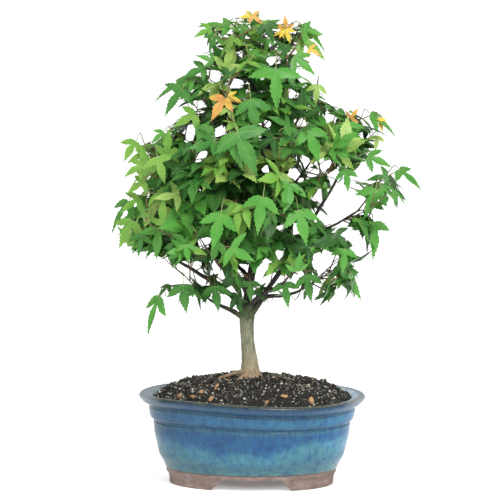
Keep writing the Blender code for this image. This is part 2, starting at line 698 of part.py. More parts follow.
class Mass:
    """One mass of leaves, grown from its stem by a seeded rule inside its own cell."""

    def __init__(self, name, site, others, stem_foot, stem_way, limbs, seed):
        self.name = name
        self.site = np.array(site, float)
        self.others = [np.array(o, float) for o in others]
        self.limbs = limbs
        self.random = np.random.default_rng(seed)
        self.solids = []
        self.trees = []
        self.leaf_count = 0
        self.grow(stem_foot, stem_way)

    def holds(self, points):
        return within_cell(points, self.site, self.others) and within_crown(points)

    def fits(self, verts, faces):
        """Inside the cell and the crown, and clear of every limb."""
        if not self.holds(verts):
            return False
        tree = tree_of(verts, faces)
        return not any(limb.overlap(tree) for limb in self.limbs)

    def grow(self, foot, way):
        length = BOUGH_SHORT_OF_SITE + STEM_PAST_SITE
        while length > SHORTEST_STEM and not self.holds(twig_path(foot, way, length)):
            length -= STEM_CUT
        stem = twig_path(foot, way, length, joints=2)
        self.stem = tube(stem, np.linspace(STEM_RADIUS, TWIG_TIP_RADIUS, 3), TWIG_SIDES)
        self.trees.append(tree_of(*self.stem))
        side, lift = cross_ways(way)
        twigs = [self.add_shoot(stem, *shoot) for shoot in SHOOTS.get(self.name, ())]
        for k in range(TWIGS_A_MASS):
            share = TWIGS_FROM + TWIGS_SPAN * k / (TWIGS_A_MASS - 1)
            turn = k * GOLDEN_ANGLE + self.random.uniform(-TWIG_TURN_STRAY, TWIG_TURN_STRAY)
            spread = math.radians(TWIG_SPREAD - TWIG_SPREAD_LOSS * share)
            out = math.cos(turn) * side + math.sin(turn) * lift
            twigs.append(self.add_twig(along(stem, share), way * math.cos(spread) + out * math.sin(spread)))
        twigs = [path for path in twigs if path is not None]
        for share in PAIR_PLACES:
            for number, path in enumerate([stem, *twigs]):
                self.add_pair(path, share, number)

    def add_shoot(self, stem, tip, lie, length):
        """A longer twig out to one of the crown's furthest leaves, which ends at a given tip."""
        tip = np.array(tip, float)
        lie = unit(lie)
        face = unit(tip - CROWN_HEART) * SHOOT_OUTWARD + SHOOT_FACING
        face = unit(face - lie * np.dot(face, lie))
        foot = tip - lie * length + face * TIP_DROOP * length
        root = foot - lie * length * SHOOT_STALK + (0, 0, SHOOT_LIFT)
        path = np.array((along(stem, SHOOT_START), root))
        self.keep(*tube(path, (TWIG_RADIUS, TWIG_TIP_RADIUS), TWIG_SIDES))
        self.keep(*leaf_solid(root - lie * ROOT_SUNK, foot, lie, face, length))
        self.leaf_count += 1
        return path

    def keep(self, verts, faces):
        self.solids.append((verts, faces))
        self.trees.append(tree_of(verts, faces))

    def add_twig(self, start, way):
        """Tries shorter and shorter twigs until one fits, and skips it if none does."""
        way = unit(way)
        length = TWIG_LENGTH * self.random.uniform(1 - TWIG_LENGTH_STRAY, 1 + TWIG_LENGTH_STRAY)
        for _ in range(TWIG_TRIES):
            path = twig_path(start, way, length)
            beyond = np.array((start + way * STALK_FREE, path[1]))
            free = tube(beyond, (TWIG_RADIUS, TWIG_RADIUS), TWIG_SIDES)
            if self.fits(*free) and not self.crosses(*free):
                self.keep(*tube(path, (TWIG_RADIUS, TWIG_TIP_RADIUS), TWIG_SIDES))
                return path
            length *= TWIG_CUT
        return None

    def crosses(self, verts, faces):
        tree = tree_of(verts, faces)
        return any(tree.overlap(other) for other in self.trees)

    def add_pair(self, path, share, number):
        """Two leaves on either side of the twig, square to the pair before, or three at its tip."""
        way = unit(path[-1] - path[0])
        side, lift = cross_ways(way)
        turn = number * PAIR_TURN_A_TWIG + share * PAIR_TURN_ALONG
        out = math.cos(turn) * side + math.sin(turn) * lift
        root = along(path, min(share, LAST_PAIR))
        for sign in (-1, 1):
            self.add_leaf(root + way * sign * PAIR_OFFSET, unit(out * sign + way * PAIR_LEAN))
        if share == PAIR_PLACES[0]:
            self.add_leaf(root + way * PAIR_OFFSET, way)

    def add_leaf(self, root, leaving):
        """Tries turns of the leaf about its stalk until one fits, and skips it if none does."""
        if self.leaf_count >= LEAVES_A_MASS:
            return
        outward = unit(root - CROWN_HEART)
        full = self.random.uniform(*LEAF_LENGTH)
        for attempt in range(LEAF_TRIES):
            spent = attempt / LEAF_TRIES
            length = full * (1 - LEAF_SHRINK * spent)
            stray = self.random.normal(0, STRAY + STRAY_GROWTH * spent, (3, 3))
            lean = unit(leaving + outward * STALK_OUTWARD + stray[0] * STALK_STRAY)
            foot = root + lean * length * self.random.uniform(*STALK_LENGTH)
            lie = unit(lean * BLADE_ALONG_STALK + outward * BLADE_OUTWARD + (0, 0, -BLADE_HANG) + stray[1])
            face = outward * FACE_OUTWARD + (0, 0, FACE_UP) + stray[2] * FACE_STRAY
            face = face - lie * np.dot(face, lie)
            if np.linalg.norm(face) < FLATTEST or np.dot(lean, lie) < STRAIGHTEST:
                continue
            face = unit(face)
            verts, faces = leaf_solid(root - lean * ROOT_SUNK, foot, lie, face, length)
            free, _ = leaf_solid(root + lean * STALK_FREE, foot, lie, face, length)
            if self.fits(verts, faces) and not self.crosses(free, faces):
                self.keep(verts, faces)
                self.leaf_count += 1
                return

    def build(self, green):
        """Joins stem, twigs and leaves by one union, and keeps the one body that holds the stem."""
        mass = add_object("leaves_" + self.name, in_place(self.stem[0]), self.stem[1], green)
        parts = bpy.data.collections.new(self.name)
        bpy.context.scene.collection.children.link(parts)
        for verts, faces in self.solids:
            add_object("piece", in_place(verts), faces, green, parts)
        apply_boolean(mass, "UNION", collection=parts, solver="MANIFOLD")
        keep_main_body(mass.data)


def keep_main_body(mesh):
    """Drops loose scraps and fills sealed hollows: only the largest shell joined by edges stays."""
    shape = bmesh.new()
    shape.from_mesh(mesh)
    left = set(shape.faces)
    bodies = []
    while left:
        queue = [left.pop()]
        body = set(queue)
        while queue:
            for edge in queue.pop().edges:
                for face in edge.link_faces:
                    if face in left:
                        left.remove(face)
                        body.add(face)
                        queue.append(face)
        bodies.append(body)
    bodies.sort(key=len)
    for body in bodies[:-1]:
        bmesh.ops.delete(shape, geom=list(body), context="FACES")
    shape.to_mesh(mesh)
    shape.free()


def make_tree(bark, twig_bark, greens):
    """Trunk, leader and boughs first, then a mass of leaves on each bough and on the leader."""
    make_trunk(bark)
    carriers = {"trunk": trunk_shape(), "leader": leader_shape()}
    leader_foot = carriers["leader"][0][0]
    limb_object("leader", *carriers["leader"], twig_bark, seat=(leader_foot, UPRIGHT))
    clearances = [inflated(*limb) for limb in carriers.values()]
    ends = {}
    for name, site, carrier, height, bearing in MASSES:
        path = carriers["leader"][0]
        if height is not None:
            path, radii, seat = bough_shape(site, carriers[carrier], height, bearing)
            limb_object("bough_" + name, path, radii, BOUGH_SIDES, twig_bark, seat)
            clearances.append(inflated(path, radii, BOUGH_SIDES))
        ends[name] = (path[-1], unit(path[-1] - path[-2]))
    for number, (name, site, *_) in enumerate(MASSES):
        tip, way = ends[name]
        foot = tip + way * SEAT / MM
        others = [row[1] for row in MASSES if row[0] != name]
        seed = SOWN_ANEW.get(name, FIRST_SEED + number)
        mass = Mass(name, site, others, foot, way, clearances, seed)
        mass.build(greens[number % len(greens)])


def main():
    clear_scene()
    glaze = make_material("blue_glaze", (0.05, 0.22, 0.36), 0.18)
    clay = make_material("bare_clay", (0.30, 0.23, 0.20), 0.8)
    earth = make_material("soil", (0.045, 0.035, 0.03), 0.95)
    bark = make_material("bark", (0.33, 0.29, 0.22), 0.8)
    twig_bark = make_material("twig_bark", (0.14, 0.10, 0.07), 0.75)
    greens = [
        make_material("leaf_green", (0.09, 0.30, 0.045), 0.5),
        make_material("leaf_fresh_green", (0.16, 0.38, 0.06), 0.5),
    ]
    make_pot_body(glaze)
    make_pot_base(clay)
    make_foot("foot_left", -1, clay)
    make_foot("foot_right", 1, clay)
    make_soil(earth)
    make_tree(bark, twig_bark, greens)


main()
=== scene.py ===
"""Looks of the potted trident maple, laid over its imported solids.

Sizes are millimetres from the pot's centre line on the ground, and placed() puts them in
the part's frame in metres. The limbs and the masses of leaves grow by the source's rule.
"""

import math
import bmesh
import bpy
import numpy as np
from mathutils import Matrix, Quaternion, Vector, noise


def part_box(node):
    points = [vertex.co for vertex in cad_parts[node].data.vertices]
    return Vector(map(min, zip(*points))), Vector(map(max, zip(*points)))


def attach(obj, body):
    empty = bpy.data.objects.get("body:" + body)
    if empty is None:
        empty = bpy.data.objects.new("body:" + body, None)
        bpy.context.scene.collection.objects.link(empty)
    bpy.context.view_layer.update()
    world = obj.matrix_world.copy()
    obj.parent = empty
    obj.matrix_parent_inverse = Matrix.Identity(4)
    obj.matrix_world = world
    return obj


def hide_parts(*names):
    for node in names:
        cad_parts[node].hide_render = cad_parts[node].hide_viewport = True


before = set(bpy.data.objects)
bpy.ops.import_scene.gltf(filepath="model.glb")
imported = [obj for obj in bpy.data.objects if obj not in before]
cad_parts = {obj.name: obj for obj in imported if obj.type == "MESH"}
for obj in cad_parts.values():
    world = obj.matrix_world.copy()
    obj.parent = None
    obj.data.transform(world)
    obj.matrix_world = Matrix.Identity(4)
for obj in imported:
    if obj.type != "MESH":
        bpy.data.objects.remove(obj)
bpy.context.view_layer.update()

MM = 0.001
UP = np.array((0.0, 0.0, 1.0))
GOLDEN_ANGLE = math.pi * (3.0 - math.sqrt(5.0))
# Steps between two points of a smooth curve, before they are evened out.
COURSE_STEPS = 16

# The pot's centre line and its half length and half depth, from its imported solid.
pot_low, pot_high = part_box("pot_body")
POT_X = (pot_low.x + pot_high.x) / 2
POT_Y = (pot_low.y + pot_high.y) / 2
HALF_LENGTH = (pot_high.x - pot_low.x) / 2 / MM
HALF_DEPTH = (pot_high.y - pot_low.y) / 2 / MM

# Camera, in metres: the photograph's long view from a little above the crown's middle.
CAMERA_SIDE = -0.0032
CAMERA_BACK = 2.4
CAMERA_HEIGHT = 0.51
AIM_HEIGHT = 0.2137
CAMERA_LENS = 192.4
CAMERA_ROLL = 0.55
SENSOR = 36.0


def placed(points):
    """Millimetres from the pot's centre line to metres in the part's frame."""
    return np.asarray(points, float) * MM + np.array((POT_X, POT_Y, 0.0))


def unit(vector):
    vector = np.asarray(vector, float)
    return vector / np.linalg.norm(vector)


def full_turn(count):
    return np.linspace(0, 2 * math.pi, count, endpoint=False)


def new_mesh(name, points, faces):
    mesh = bpy.data.meshes.new(name)
    mesh.from_pydata(placed(points).tolist(), [], faces)
    return mesh


def new_thing(name, data):
    thing = bpy.data.objects.new(name, data)
    bpy.context.scene.collection.objects.link(thing)
    return thing


class Heap:
    """Many small shapes gathered into one mesh."""

    def __init__(self):
        self.verts = []
        self.faces = []
        self.count = 0

    def add(self, verts, faces):
        self.verts.append(np.asarray(verts, float))
        base = self.count
        self.faces.extend([i + base for i in face] for face in faces)
        self.count += len(verts)

    def piece(self, name, material, slot, stands_for=(), smooth=True):
        mesh = new_mesh(name, np.vstack(self.verts), self.faces)
        mesh.materials.append(material)
        if smooth:
            mesh.shade_smooth()
        return dress(new_thing(name, mesh), stands_for)


def dress(thing, stands_for=()):
    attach(thing, "root")
    if stands_for:
        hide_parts(*stands_for)
    return thing


def ring_faces(rings, count, close_first=True, close_last=True):
    faces = []
    for k in range(rings - 1):
        low, high = k * count, (k + 1) * count
        for j in range(count):
            n = (j + 1) % count
            faces.append((low + j, low + n, high + n, high + j))
    if close_first:
        faces.append(tuple(reversed(range(count))))
    if close_last:
        faces.append(tuple(range((rings - 1) * count, rings * count)))
    return faces


def course(points, count):
    """Even steps along a smooth curve (Catmull-Rom) through a few points."""
    p = np.asarray(points, float)
    p = np.vstack([2 * p[0] - p[1], p, 2 * p[-1] - p[-2]])
    fine = []
    for k in range(1, len(p) - 2):
        a, b, c, d = p[k - 1 : k + 3]
        for t in np.linspace(0, 1, COURSE_STEPS, endpoint=False):
            square = (2 * a - 5 * b + 4 * c - d) * t**2
            cube = (3 * b - a - 3 * c + d) * t**3
            fine.append(0.5 * (2 * b + (c - a) * t + square + cube))
    fine.append(p[-2])
    fine = np.array(fine)
    run = np.concatenate([[0], np.cumsum(np.linalg.norm(np.diff(fine, axis=0), axis=1))])
    steps = np.linspace(0, run[-1], count)
    return np.stack([np.interp(steps, run, fine[:, k]) for k in range(fine.shape[1])], axis=1)


def tube(path, radii, sides, relief=None):
    """A tapering limb along a path; relief(point) scales its radius."""
    path = np.asarray(path, float)
    ahead = np.gradient(path, axis=0)
    ahead /= np.linalg.norm(ahead, axis=1)[:, None]
    helper = (1, 0, 0) if abs(ahead[0][0]) < 0.8 else (0, 1, 0)
    side = unit(np.cross(ahead[0], helper))
    turns = np.arange(sides) * 2 * math.pi / sides
    around = np.stack([np.cos(turns), np.sin(turns)], axis=1)
    rings = []
    for point, radius, way in zip(path, radii, ahead):
        side = unit(side - way * np.dot(side, way))
        cross = np.array((side, np.cross(way, side)))
        ring = around @ cross
        if relief:
            scale = np.array([relief(point + spoke * radius) for spoke in ring])
            ring = ring * scale[:, None]
        rings.append(point + ring * radius)
    return np.vstack(rings), ring_faces(len(path), sides)


def rough(point, size, seed=0.0):
    """Smooth noise from -1 to 1 at a point, with features of about a given size."""
    return noise.noise(Vector((point[0] / size + seed, point[1] / size, point[2] / size)))


class Look:
    """A Principled material and the nodes that feed it, all in the part's own coordinates."""

    def __init__(self, name, colour, roughness, **inputs):
        self.material = bpy.data.materials.new(name)
        self.material.use_nodes = True
        self.tree = self.material.node_tree
        self.shader = self.tree.nodes["Principled BSDF"]
        self.shader.inputs["Base Color"].default_value = (*colour, 1.0)
        self.shader.inputs["Roughness"].default_value = roughness
        for key, value in inputs.items():
            self.shader.inputs[key.replace("_", " ")].default_value = value
        self.where = self.add("TexCoord").outputs["Object"]

    def add(self, kind, **settings):
        node = self.tree.nodes.new("ShaderNode" + kind)
        for key, value in settings.items():
            setattr(node, key, value)
        return node

    def link(self, source, target):
        self.tree.links.new(source, target)

    def stretched(self, scale):
        mapping = self.add("Mapping")
        mapping.inputs["Scale"].default_value = scale
        self.link(self.where, mapping.inputs["Vector"])
        return mapping.outputs["Vector"]

    def noise(self, size_mm, stretch=(1, 1, 1), detail=4.0, roughness=0.55):
        """Noise with features of about a size in millimetres."""
        node = self.add("TexNoise")
        node.inputs["Scale"].default_value = 1 / (size_mm * MM)
        node.inputs["Detail"].default_value = detail
        node.inputs["Roughness"].default_value = roughness
        self.link(self.stretched(stretch), node.inputs["Vector"])
        return node.outputs["Fac"]

    def cells(self, size_mm):
        """The way from the middles of small cells, from 0 upwards."""
        node = self.add("TexVoronoi")
        node.inputs["Scale"].default_value = 1 / (size_mm * MM)
        self.link(self.where, node.inputs["Vector"])
        return node.outputs["Distance"]

    def ramp(self, source, stops, easing="LINEAR"):
        node = self.add("ValToRGB")
        band = node.color_ramp
        band.interpolation = easing
        while len(band.elements) < len(stops):
            band.elements.new(0.5)
        for element, (place, colour) in zip(band.elements, stops):
            element.position = place
            element.color = (*colour, 1.0) if hasattr(colour, "__len__") else (colour, colour, colour, 1.0)
        self.link(source, node.inputs["Fac"])
        return node.outputs["Color"]

    def feed(self, socket, value):
        """Links a socket to another one, or gives it a colour or a number."""
        if isinstance(value, bpy.types.NodeSocket):
            self.link(value, socket)
        elif hasattr(value, "__len__"):
            socket.default_value = (*value, 1.0)
        else:
            socket.default_value = value

    def mix(self, factor, a, b, blend="MIX"):
        node = self.add("Mix", data_type="RGBA", blend_type=blend)
        for number, value in ((0, factor), (6, a), (7, b)):
            self.feed(node.inputs[number], value)
        return node.outputs[2]

    def tinted(self, colour, layer):
        return self.mix(1.0, colour, layer, "MULTIPLY")

    def calc(self, operation, a, b=0.0):
        node = self.add("Math", operation=operation)
        for socket, value in zip(node.inputs, (a, b)):
            self.feed(socket, value)
        return node.outputs[0]

    def plus(self, a, b):
        return self.calc("ADD", a, b)

    def minus(self, a, b):
        return self.calc("SUBTRACT", a, b)

    def times(self, a, b):
        return self.calc("MULTIPLY", a, b)

    def axis(self, source, name):
        split = self.add("SeparateXYZ")
        self.link(source, split.inputs[0])
        return split.outputs[name]

    def height(self):
        """Height over the ground, in millimetres."""
        return self.times(self.axis(self.where, "Z"), 1 / MM)

    def marked_height(self):
        """Height on the unwarped bowl, in millimetres, as mark_heights() left it."""
        marks = self.add("TexCoord").outputs["UV"]
        return self.times(self.axis(marks, "Y"), MARKED_HEIGHT)

    def colour(self, source):
        self.link(source, self.shader.inputs["Base Color"])

    def roughness(self, source):
        self.link(source, self.shader.inputs["Roughness"])

    def bump(self, source, strength, depth_mm):
        node = self.add("Bump")
        node.inputs["Strength"].default_value = strength
        node.inputs["Distance"].default_value = depth_mm * MM
        self.link(source, node.inputs["Height"])
        self.link(node.outputs["Normal"], self.shader.inputs["Normal"])


# Glaze colours up the bowl: height, colour. It thins at the edges. The darker bands in the two grooves are
# painted shade, the paler band on the shoulder under the lower groove is a painted highlight, and the pale
# top of the lip is pale glaze with a painted reflection on it.
GLAZE_BANDS = (
    (13.0, (0.045, 0.030, 0.030)),
    (14.9, (0.080, 0.060, 0.050)),
    (15.6, (0.070, 0.155, 0.175)),
    (18.0, (0.046, 0.138, 0.168)),
    (24.4, (0.038, 0.122, 0.170)),
    (33.0, (0.044, 0.158, 0.220)),
    (39.0, (0.040, 0.160, 0.235)),
    (43.0, (0.018, 0.104, 0.205)),
    (47.0, (0.010, 0.078, 0.182)),
    (52.5, (0.008, 0.072, 0.172)),
    (54.6, (0.018, 0.090, 0.165)),
    # Painted highlight on the shoulder under the lower groove.
    (56.4, (0.026, 0.095, 0.150)),
    # Painted shade in the lower groove.
    (57.4, (0.022, 0.080, 0.140)),
    (59.4, (0.020, 0.074, 0.145)),
    (61.4, (0.018, 0.080, 0.160)),
    (64.0, (0.018, 0.104, 0.205)),
    (69.0, (0.018, 0.098, 0.190)),
    # Painted shade in the groove under the lip.
    (71.0, (0.022, 0.072, 0.130)),
    (72.2, (0.026, 0.066, 0.105)),
    (73.2, (0.018, 0.056, 0.105)),
    (75.6, (0.013, 0.062, 0.130)),
    (79.0, (0.010, 0.050, 0.108)),
    (81.0, (0.015, 0.040, 0.070)),
    (81.8, (0.055, 0.060, 0.040)),
    (82.7, (0.110, 0.115, 0.090)),
    # The lip's pale top: pale glaze with a painted reflection.
    (83.2, (0.290, 0.370, 0.430)),
    (86.4, (0.350, 0.450, 0.530)),
    (89.0, (0.080, 0.100, 0.120)),
)
# Towards the pot's two ends the lip's dark line turns pale, a painted reflection: share of its half
# length, and tone.
PALE_END_FROM = 0.78
PALE_END_FULL = 0.94
PALE_END_TONE = (0.240, 0.280, 0.300)
# The glaze is painted darker towards the left end and paler towards the right end, painted light from the
# right with a painted reflection near that end: place along the pot, strength.
GLAZE_SIDE_LIGHT = ((0.06, 0.76), (0.2, 0.90), (0.5, 1.0), (0.78, 1.06), (0.93, 1.50))
# How far the deep blue runs down the flank: place along the pot's length, drop.
GLAZE_RUNS = (
    (-84, -2.5),
    (-60, 0.5),
    (-42, 3.5),
    (-27, 9.0),
    (-15, 4.0),
    (-2, 5.0),
    (12, 9.0),
    (25, 3.0),
    (40, -1.0),
    (58, -4.0),
    (80, -5.0),
)
GLAZE_RUN_SPAN = 16.0
GLAZE_FLOW_TOP = 52.5
# Finer runs that stray from these: width, stretch along the height, reach.
GLAZE_STRAYS = ((9.0, 0.12, 9.0), (2.6, 0.05, 7.0))
# The flow shows on the bowl's flank, and the pale ends only on the lip: height as a share of
# MARKED_HEIGHT, strength.
FLOW_BY_HEIGHT = ((0.15, 0.0), (0.30, 1.0), (0.48, 1.0), (0.53, 0.04), (0.8, 0.04))
PALE_END_BY_HEIGHT = ((0.775, 0.0), (0.805, 1.0), (0.827, 1.0), (0.84, 0.0))
SPECK_STRENGTH = 0.5


def glaze_look():
    look = Look("blue_glaze", (0.05, 0.17, 0.28), 0.25, Specular_IOR_Level=0.38)
    low, high = GLAZE_BANDS[0][0], GLAZE_BANDS[-1][0]
    height = look.marked_height()
    # From -0.5 at the pot's left end to 0.5 at its right one.
    along_pot = look.times(look.minus(look.axis(look.where, "X"), POT_X), 0.5 / (HALF_LENGTH * MM))
    stops = [(0.5 + x / HALF_LENGTH / 2, 0.5 + drop / GLAZE_RUN_SPAN / 2) for x, drop in GLAZE_RUNS]
    drop = look.minus(look.ramp(look.plus(along_pot, 0.5), stops, "EASE"), 0.5)
    shift = look.times(drop, GLAZE_RUN_SPAN * 2)
    for size, stretch, reach in GLAZE_STRAYS:
        runs = look.minus(look.noise(size, (1, 1, stretch), detail=3.0), 0.5)
        shift = look.plus(shift, look.times(runs, reach))
    flank = look.ramp(look.times(height, 1 / MARKED_HEIGHT), FLOW_BY_HEIGHT)
    flowed = look.plus(height, look.times(shift, flank))
    height = look.calc("MINIMUM", flowed, look.calc("MAXIMUM", height, GLAZE_FLOW_TOP))
    share = look.times(look.minus(height, low), 1 / (high - low))
    bands = look.ramp(share, [((z - low) / (high - low), c) for z, c in GLAZE_BANDS])
    streaks = look.ramp(look.noise(1.5, (1, 1, 0.06), detail=3.0), ((0.3, 0.76), (0.7, 1.24)))
    clouds = look.ramp(
        look.noise(13.0, (1, 1, 0.8)),
        ((0.32, (0.80, 0.90, 1.02)), (0.68, (1.22, 1.10, 0.96))),
    )
    blots = look.ramp(
        look.noise(6.5, (1, 1, 1.3)),
        ((0.48, (1.06, 1.05, 1.03)), (0.66, (0.60, 0.70, 0.88))),
    )
    specks = look.ramp(look.cells(1.7), ((0.0, 0.55), (0.16, 1.0)))
    # Painted light from the right: the glaze darker to the left, paler to the right.
    strength = look.ramp(look.plus(along_pot, 0.5), GLAZE_SIDE_LIGHT)
    colour = bands
    for layer in (streaks, clouds, blots, strength):
        colour = look.tinted(colour, layer)
    # Painted reflection: the lip turns pale towards the pot's two ends.
    out = look.times(look.calc("ABSOLUTE", along_pot), 2.0)
    at_end = look.ramp(out, ((PALE_END_FROM, 0.0), (PALE_END_FULL, 1.0)))
    on_lip = look.ramp(look.times(height, 1 / MARKED_HEIGHT), PALE_END_BY_HEIGHT)
    colour = look.mix(look.times(at_end, on_lip), colour, PALE_END_TONE)
    look.colour(look.mix(SPECK_STRENGTH, colour, specks, "MULTIPLY"))
    look.roughness(look.ramp(look.noise(5.0), ((0.3, 0.20), (0.7, 0.34))))
    look.bump(look.mix(0.4, look.noise(3.0, (1, 1, 0.3)), look.noise(0.8)), 0.25, 0.25)
    return look.material


def clay_look():
    look = Look("bare_clay", (0.27, 0.20, 0.17), 0.85)
    tone = look.ramp(
        look.noise(11.0, (1, 1, 1.6)),
        ((0.28, (0.135, 0.093, 0.078)), (0.5, (0.215, 0.152, 0.130)), (0.75, (0.29, 0.235, 0.215))),
    )
    grit = look.ramp(look.cells(0.7), ((0.0, 0.55), (0.25, 1.0)))
    look.colour(look.mix(0.7, tone, grit, "MULTIPLY"))
    look.roughness(look.ramp(look.noise(2.0), ((0.3, 0.72), (0.7, 0.95))))
    look.bump(look.mix(0.5, look.noise(0.6), look.noise(2.6)), 0.5, 0.3)
    return look.material


def crumb_look(name, dark, light, size_mm):
    """Soil and its grains: each grain takes a tone between two colours."""
    look = Look(name, dark, 0.9)
    tone = look.ramp(look.noise(size_mm), ((0.32, dark), (0.68, light)))
    fine = look.ramp(look.noise(0.5), ((0.3, 0.65), (0.7, 1.25)))
    look.colour(look.tinted(tone, fine))
    look.bump(look.noise(0.7), 0.7, 0.4)
    return look.material


# The bark's tones, from its cracks to its ridges.
BARK_TONES = (
    (0.28, (0.085, 0.080, 0.055)),
    (0.42, (0.19, 0.19, 0.128)),
    (0.58, (0.275, 0.272, 0.190)),
    (0.74, (0.41, 0.40, 0.31)),
)
# Up the trunk, as shares of BARK_HEIGHT: the pinker flare, the mossy part and the dark fork.
BARK_HEIGHT = 200.0
BARK_WANDER = 14.0
FLARE_TONES = ((0.495, (1.55, 1.04, 0.94)), (0.535, (1.34, 1.13, 1.0)), (0.62, (0.96, 0.98, 0.91)))
MOSS_BY_HEIGHT = ((0.735, 0.0), (0.765, 0.85), (0.83, 0.85))
DARK_BY_HEIGHT = ((0.80, 0.0), (0.835, 0.93))


def bark_look():
    """Grey-green bark, finely cracked upwards, pinker at the flare, mossy and then dark at the fork."""
    look = Look("bark", (0.25, 0.24, 0.165), 0.82)
    tone = look.ramp(look.noise(1.7, (1, 1, 0.22), detail=6.0, roughness=0.65), BARK_TONES)
    wander = look.times(look.minus(look.noise(5.0), 0.5), BARK_WANDER)
    share = look.times(look.plus(look.height(), wander), 1 / BARK_HEIGHT)
    colour = look.tinted(tone, look.ramp(share, FLARE_TONES))
    blotch = look.ramp(look.noise(3.6, (1, 1, 0.6)), ((0.60, 0.0), (0.70, 0.55)))
    colour = look.mix(blotch, colour, (0.38, 0.37, 0.31))
    stain = look.ramp(look.noise(4.4, (1, 1, 0.5)), ((0.36, 0.5), (0.44, 0.0)))
    colour = look.mix(stain, colour, (0.11, 0.115, 0.075))
    growth = look.ramp(look.noise(1.4), ((0.35, (0.020, 0.034, 0.012)), (0.7, (0.095, 0.150, 0.045))))
    colour = look.mix(look.ramp(share, MOSS_BY_HEIGHT), colour, growth)
    colour = look.mix(look.ramp(share, DARK_BY_HEIGHT), colour, (0.012, 0.011, 0.010))
    look.colour(colour)
    look.bump(look.mix(0.35, look.noise(1.1, (1, 1, 0.14)), look.noise(0.5)), 0.9, 0.5)
    return look.material


def twig_look(name, dark, light, roughness=0.7):
    look = Look(name, dark, roughness)
    tone = look.ramp(look.noise(3.5, (1, 1, 0.4)), ((0.35, dark), (0.68, light)))
    fine = look.ramp(look.noise(0.7), ((0.3, 0.75), (0.7, 1.2)))
    look.colour(look.tinted(tone, fine))
    look.bump(look.noise(0.8, (1, 1, 0.4)), 0.6, 0.25)
    return look.material


def leaf_look(name, colour, drift):
    """A satin leaf: one base tint, drifting a little towards another across the blade."""
    look = Look(name, colour, 0.48, Specular_IOR_Level=0.22)
    pale = tuple(c * d for c, d in zip(colour, drift))
    tone = look.ramp(look.noise(13.0, detail=2.0), ((0.36, colour), (0.66, pale)))
    cells = look.ramp(look.cells(1.1), ((0.0, 1.10), (0.5, 0.90)))
    look.colour(look.mix(0.6, tone, cells, "MULTIPLY"))
    look.roughness(look.ramp(look.noise(4.0), ((0.3, 0.36), (0.7, 0.52))))
    look.bump(look.mix(0.5, look.noise(1.6), look.cells(1.4)), 0.35, 0.2)
    return look.material


# Outside of the bowl from the lip's inner edge down to the foot of the glaze: inset, height.
GLAZED_PROFILE = (
    (13.6, 70.0),
    (13.3, 75.5),
    (12.9, 78.6),
    (12.2, 80.0),
    (10.0, 81.2),
    (6.0, 82.2),
    (3.0, 82.9),
    (1.2, 82.3),
    (0.2, 81.2),
    (0.0, 80.0),
    (0.6, 78.6),
    (1.8, 77.4),
    (3.2, 75.8),
    (5.4, 74.2),
    (7.6, 72.9),
    (9.2, 71.6),
    (8.9, 69.8),
    (9.5, 65.0),
    (10.0, 62.8),
    (10.9, 60.6),
    (13.7, 58.4),
    (13.2, 56.4),
    (13.4, 54.8),
    (14.3, 45.4),
    (16.1, 37.8),
    (18.3, 28.2),
    (20.1, 24.3),
    (22.4, 20.5),
    (24.1, 16.6),
    (24.9, 14.6),
    (25.6, 14.0),
)
CLAY_PROFILE = (
    (26.8, 14.4),
    (25.1, 14.3),
    (25.4, 12.8),
    (25.6, 11.3),
    (26.2, 10.5),
    (27.8, 10.4),
)
POT_AROUND = 288
PROFILE_STEPS = 150
CLAY_STEPS = 26
MARKED_HEIGHT = 100.0
RIM_WARP = 2.4
RIM_WARP_FROM = 43.0
RIM_WARP_FULL = 70.0
HAND_WAVER = 0.22
HAND_WAVER_SIZE = 22.0
# The ring on which the wavering is read, and how fast it changes with height.
HAND_WAVER_RING = (60, 45)
HAND_WAVER_RISE = 1.5
BASE_LOW = 10.4
PLATE_INSET = 27.2
PLATE_THICKNESS = 3.4
DRAIN_RADIUS = 7.0
DRAIN_SPACING = 16.5
DRAIN_SIDES = 48
ARCH_FOOT_HALF = 36.5
ARCH_TOP_HALF = 26.5
ARCH_CORNER = 2.5
FOOT_INSET = 28.0
FOOT_EDGE = 0.9
FOOT_FLARE = 1.6
FOOT_LEVELS = (0.0, 0.25, FOOT_EDGE, 2.2, 3.8, 5.4, 6.9, 8.0, 8.9, 9.5, 9.9, BASE_LOW + 0.6)
FOOT_ARC = 90
FOOT_BACK = 26
FOOT_WAVER = 0.25
FOOT_WAVER_SIZE = 14.0
# The arch ends just under the base, and the feet reach a little into it.
ARCH_TOP = BASE_LOW - 0.1


def oval(inset, turns):
    return (HALF_LENGTH - inset) * np.cos(turns), (HALF_DEPTH - inset) * np.sin(turns)


def warp(z, turns):
    """How the hand-made rim rises to the left and dips to the right along the pot's front."""
    front = np.clip(-np.sin(turns), 0, 1)
    share = np.clip((z - RIM_WARP_FROM) / (RIM_WARP_FULL - RIM_WARP_FROM), 0, 1)
    share = share * share * (3 - 2 * share)
    return -RIM_WARP * np.sin(2 * (turns + math.pi / 2)) * front * share


def turned(profile, steps, heap):
    """The oval bowl's wall from a profile, with the small wavering of a hand-made pot."""
    line = course(profile, steps)
    turns = full_turn(POT_AROUND)
    a, b = HAND_WAVER_RING
    rings = []
    for inset, z in line:
        spots = [(math.cos(t) * a, math.sin(t) * b, z * HAND_WAVER_RISE) for t in turns]
        waver = HAND_WAVER * np.array([rough(spot, HAND_WAVER_SIZE, 3.0) for spot in spots])
        x, y = oval(inset + waver, turns)
        rings.append(np.stack([x, y, z + warp(z, turns)], axis=1))
    heap.add(np.vstack(rings), ring_faces(len(rings), POT_AROUND, False, False))
    return line[:, 1]


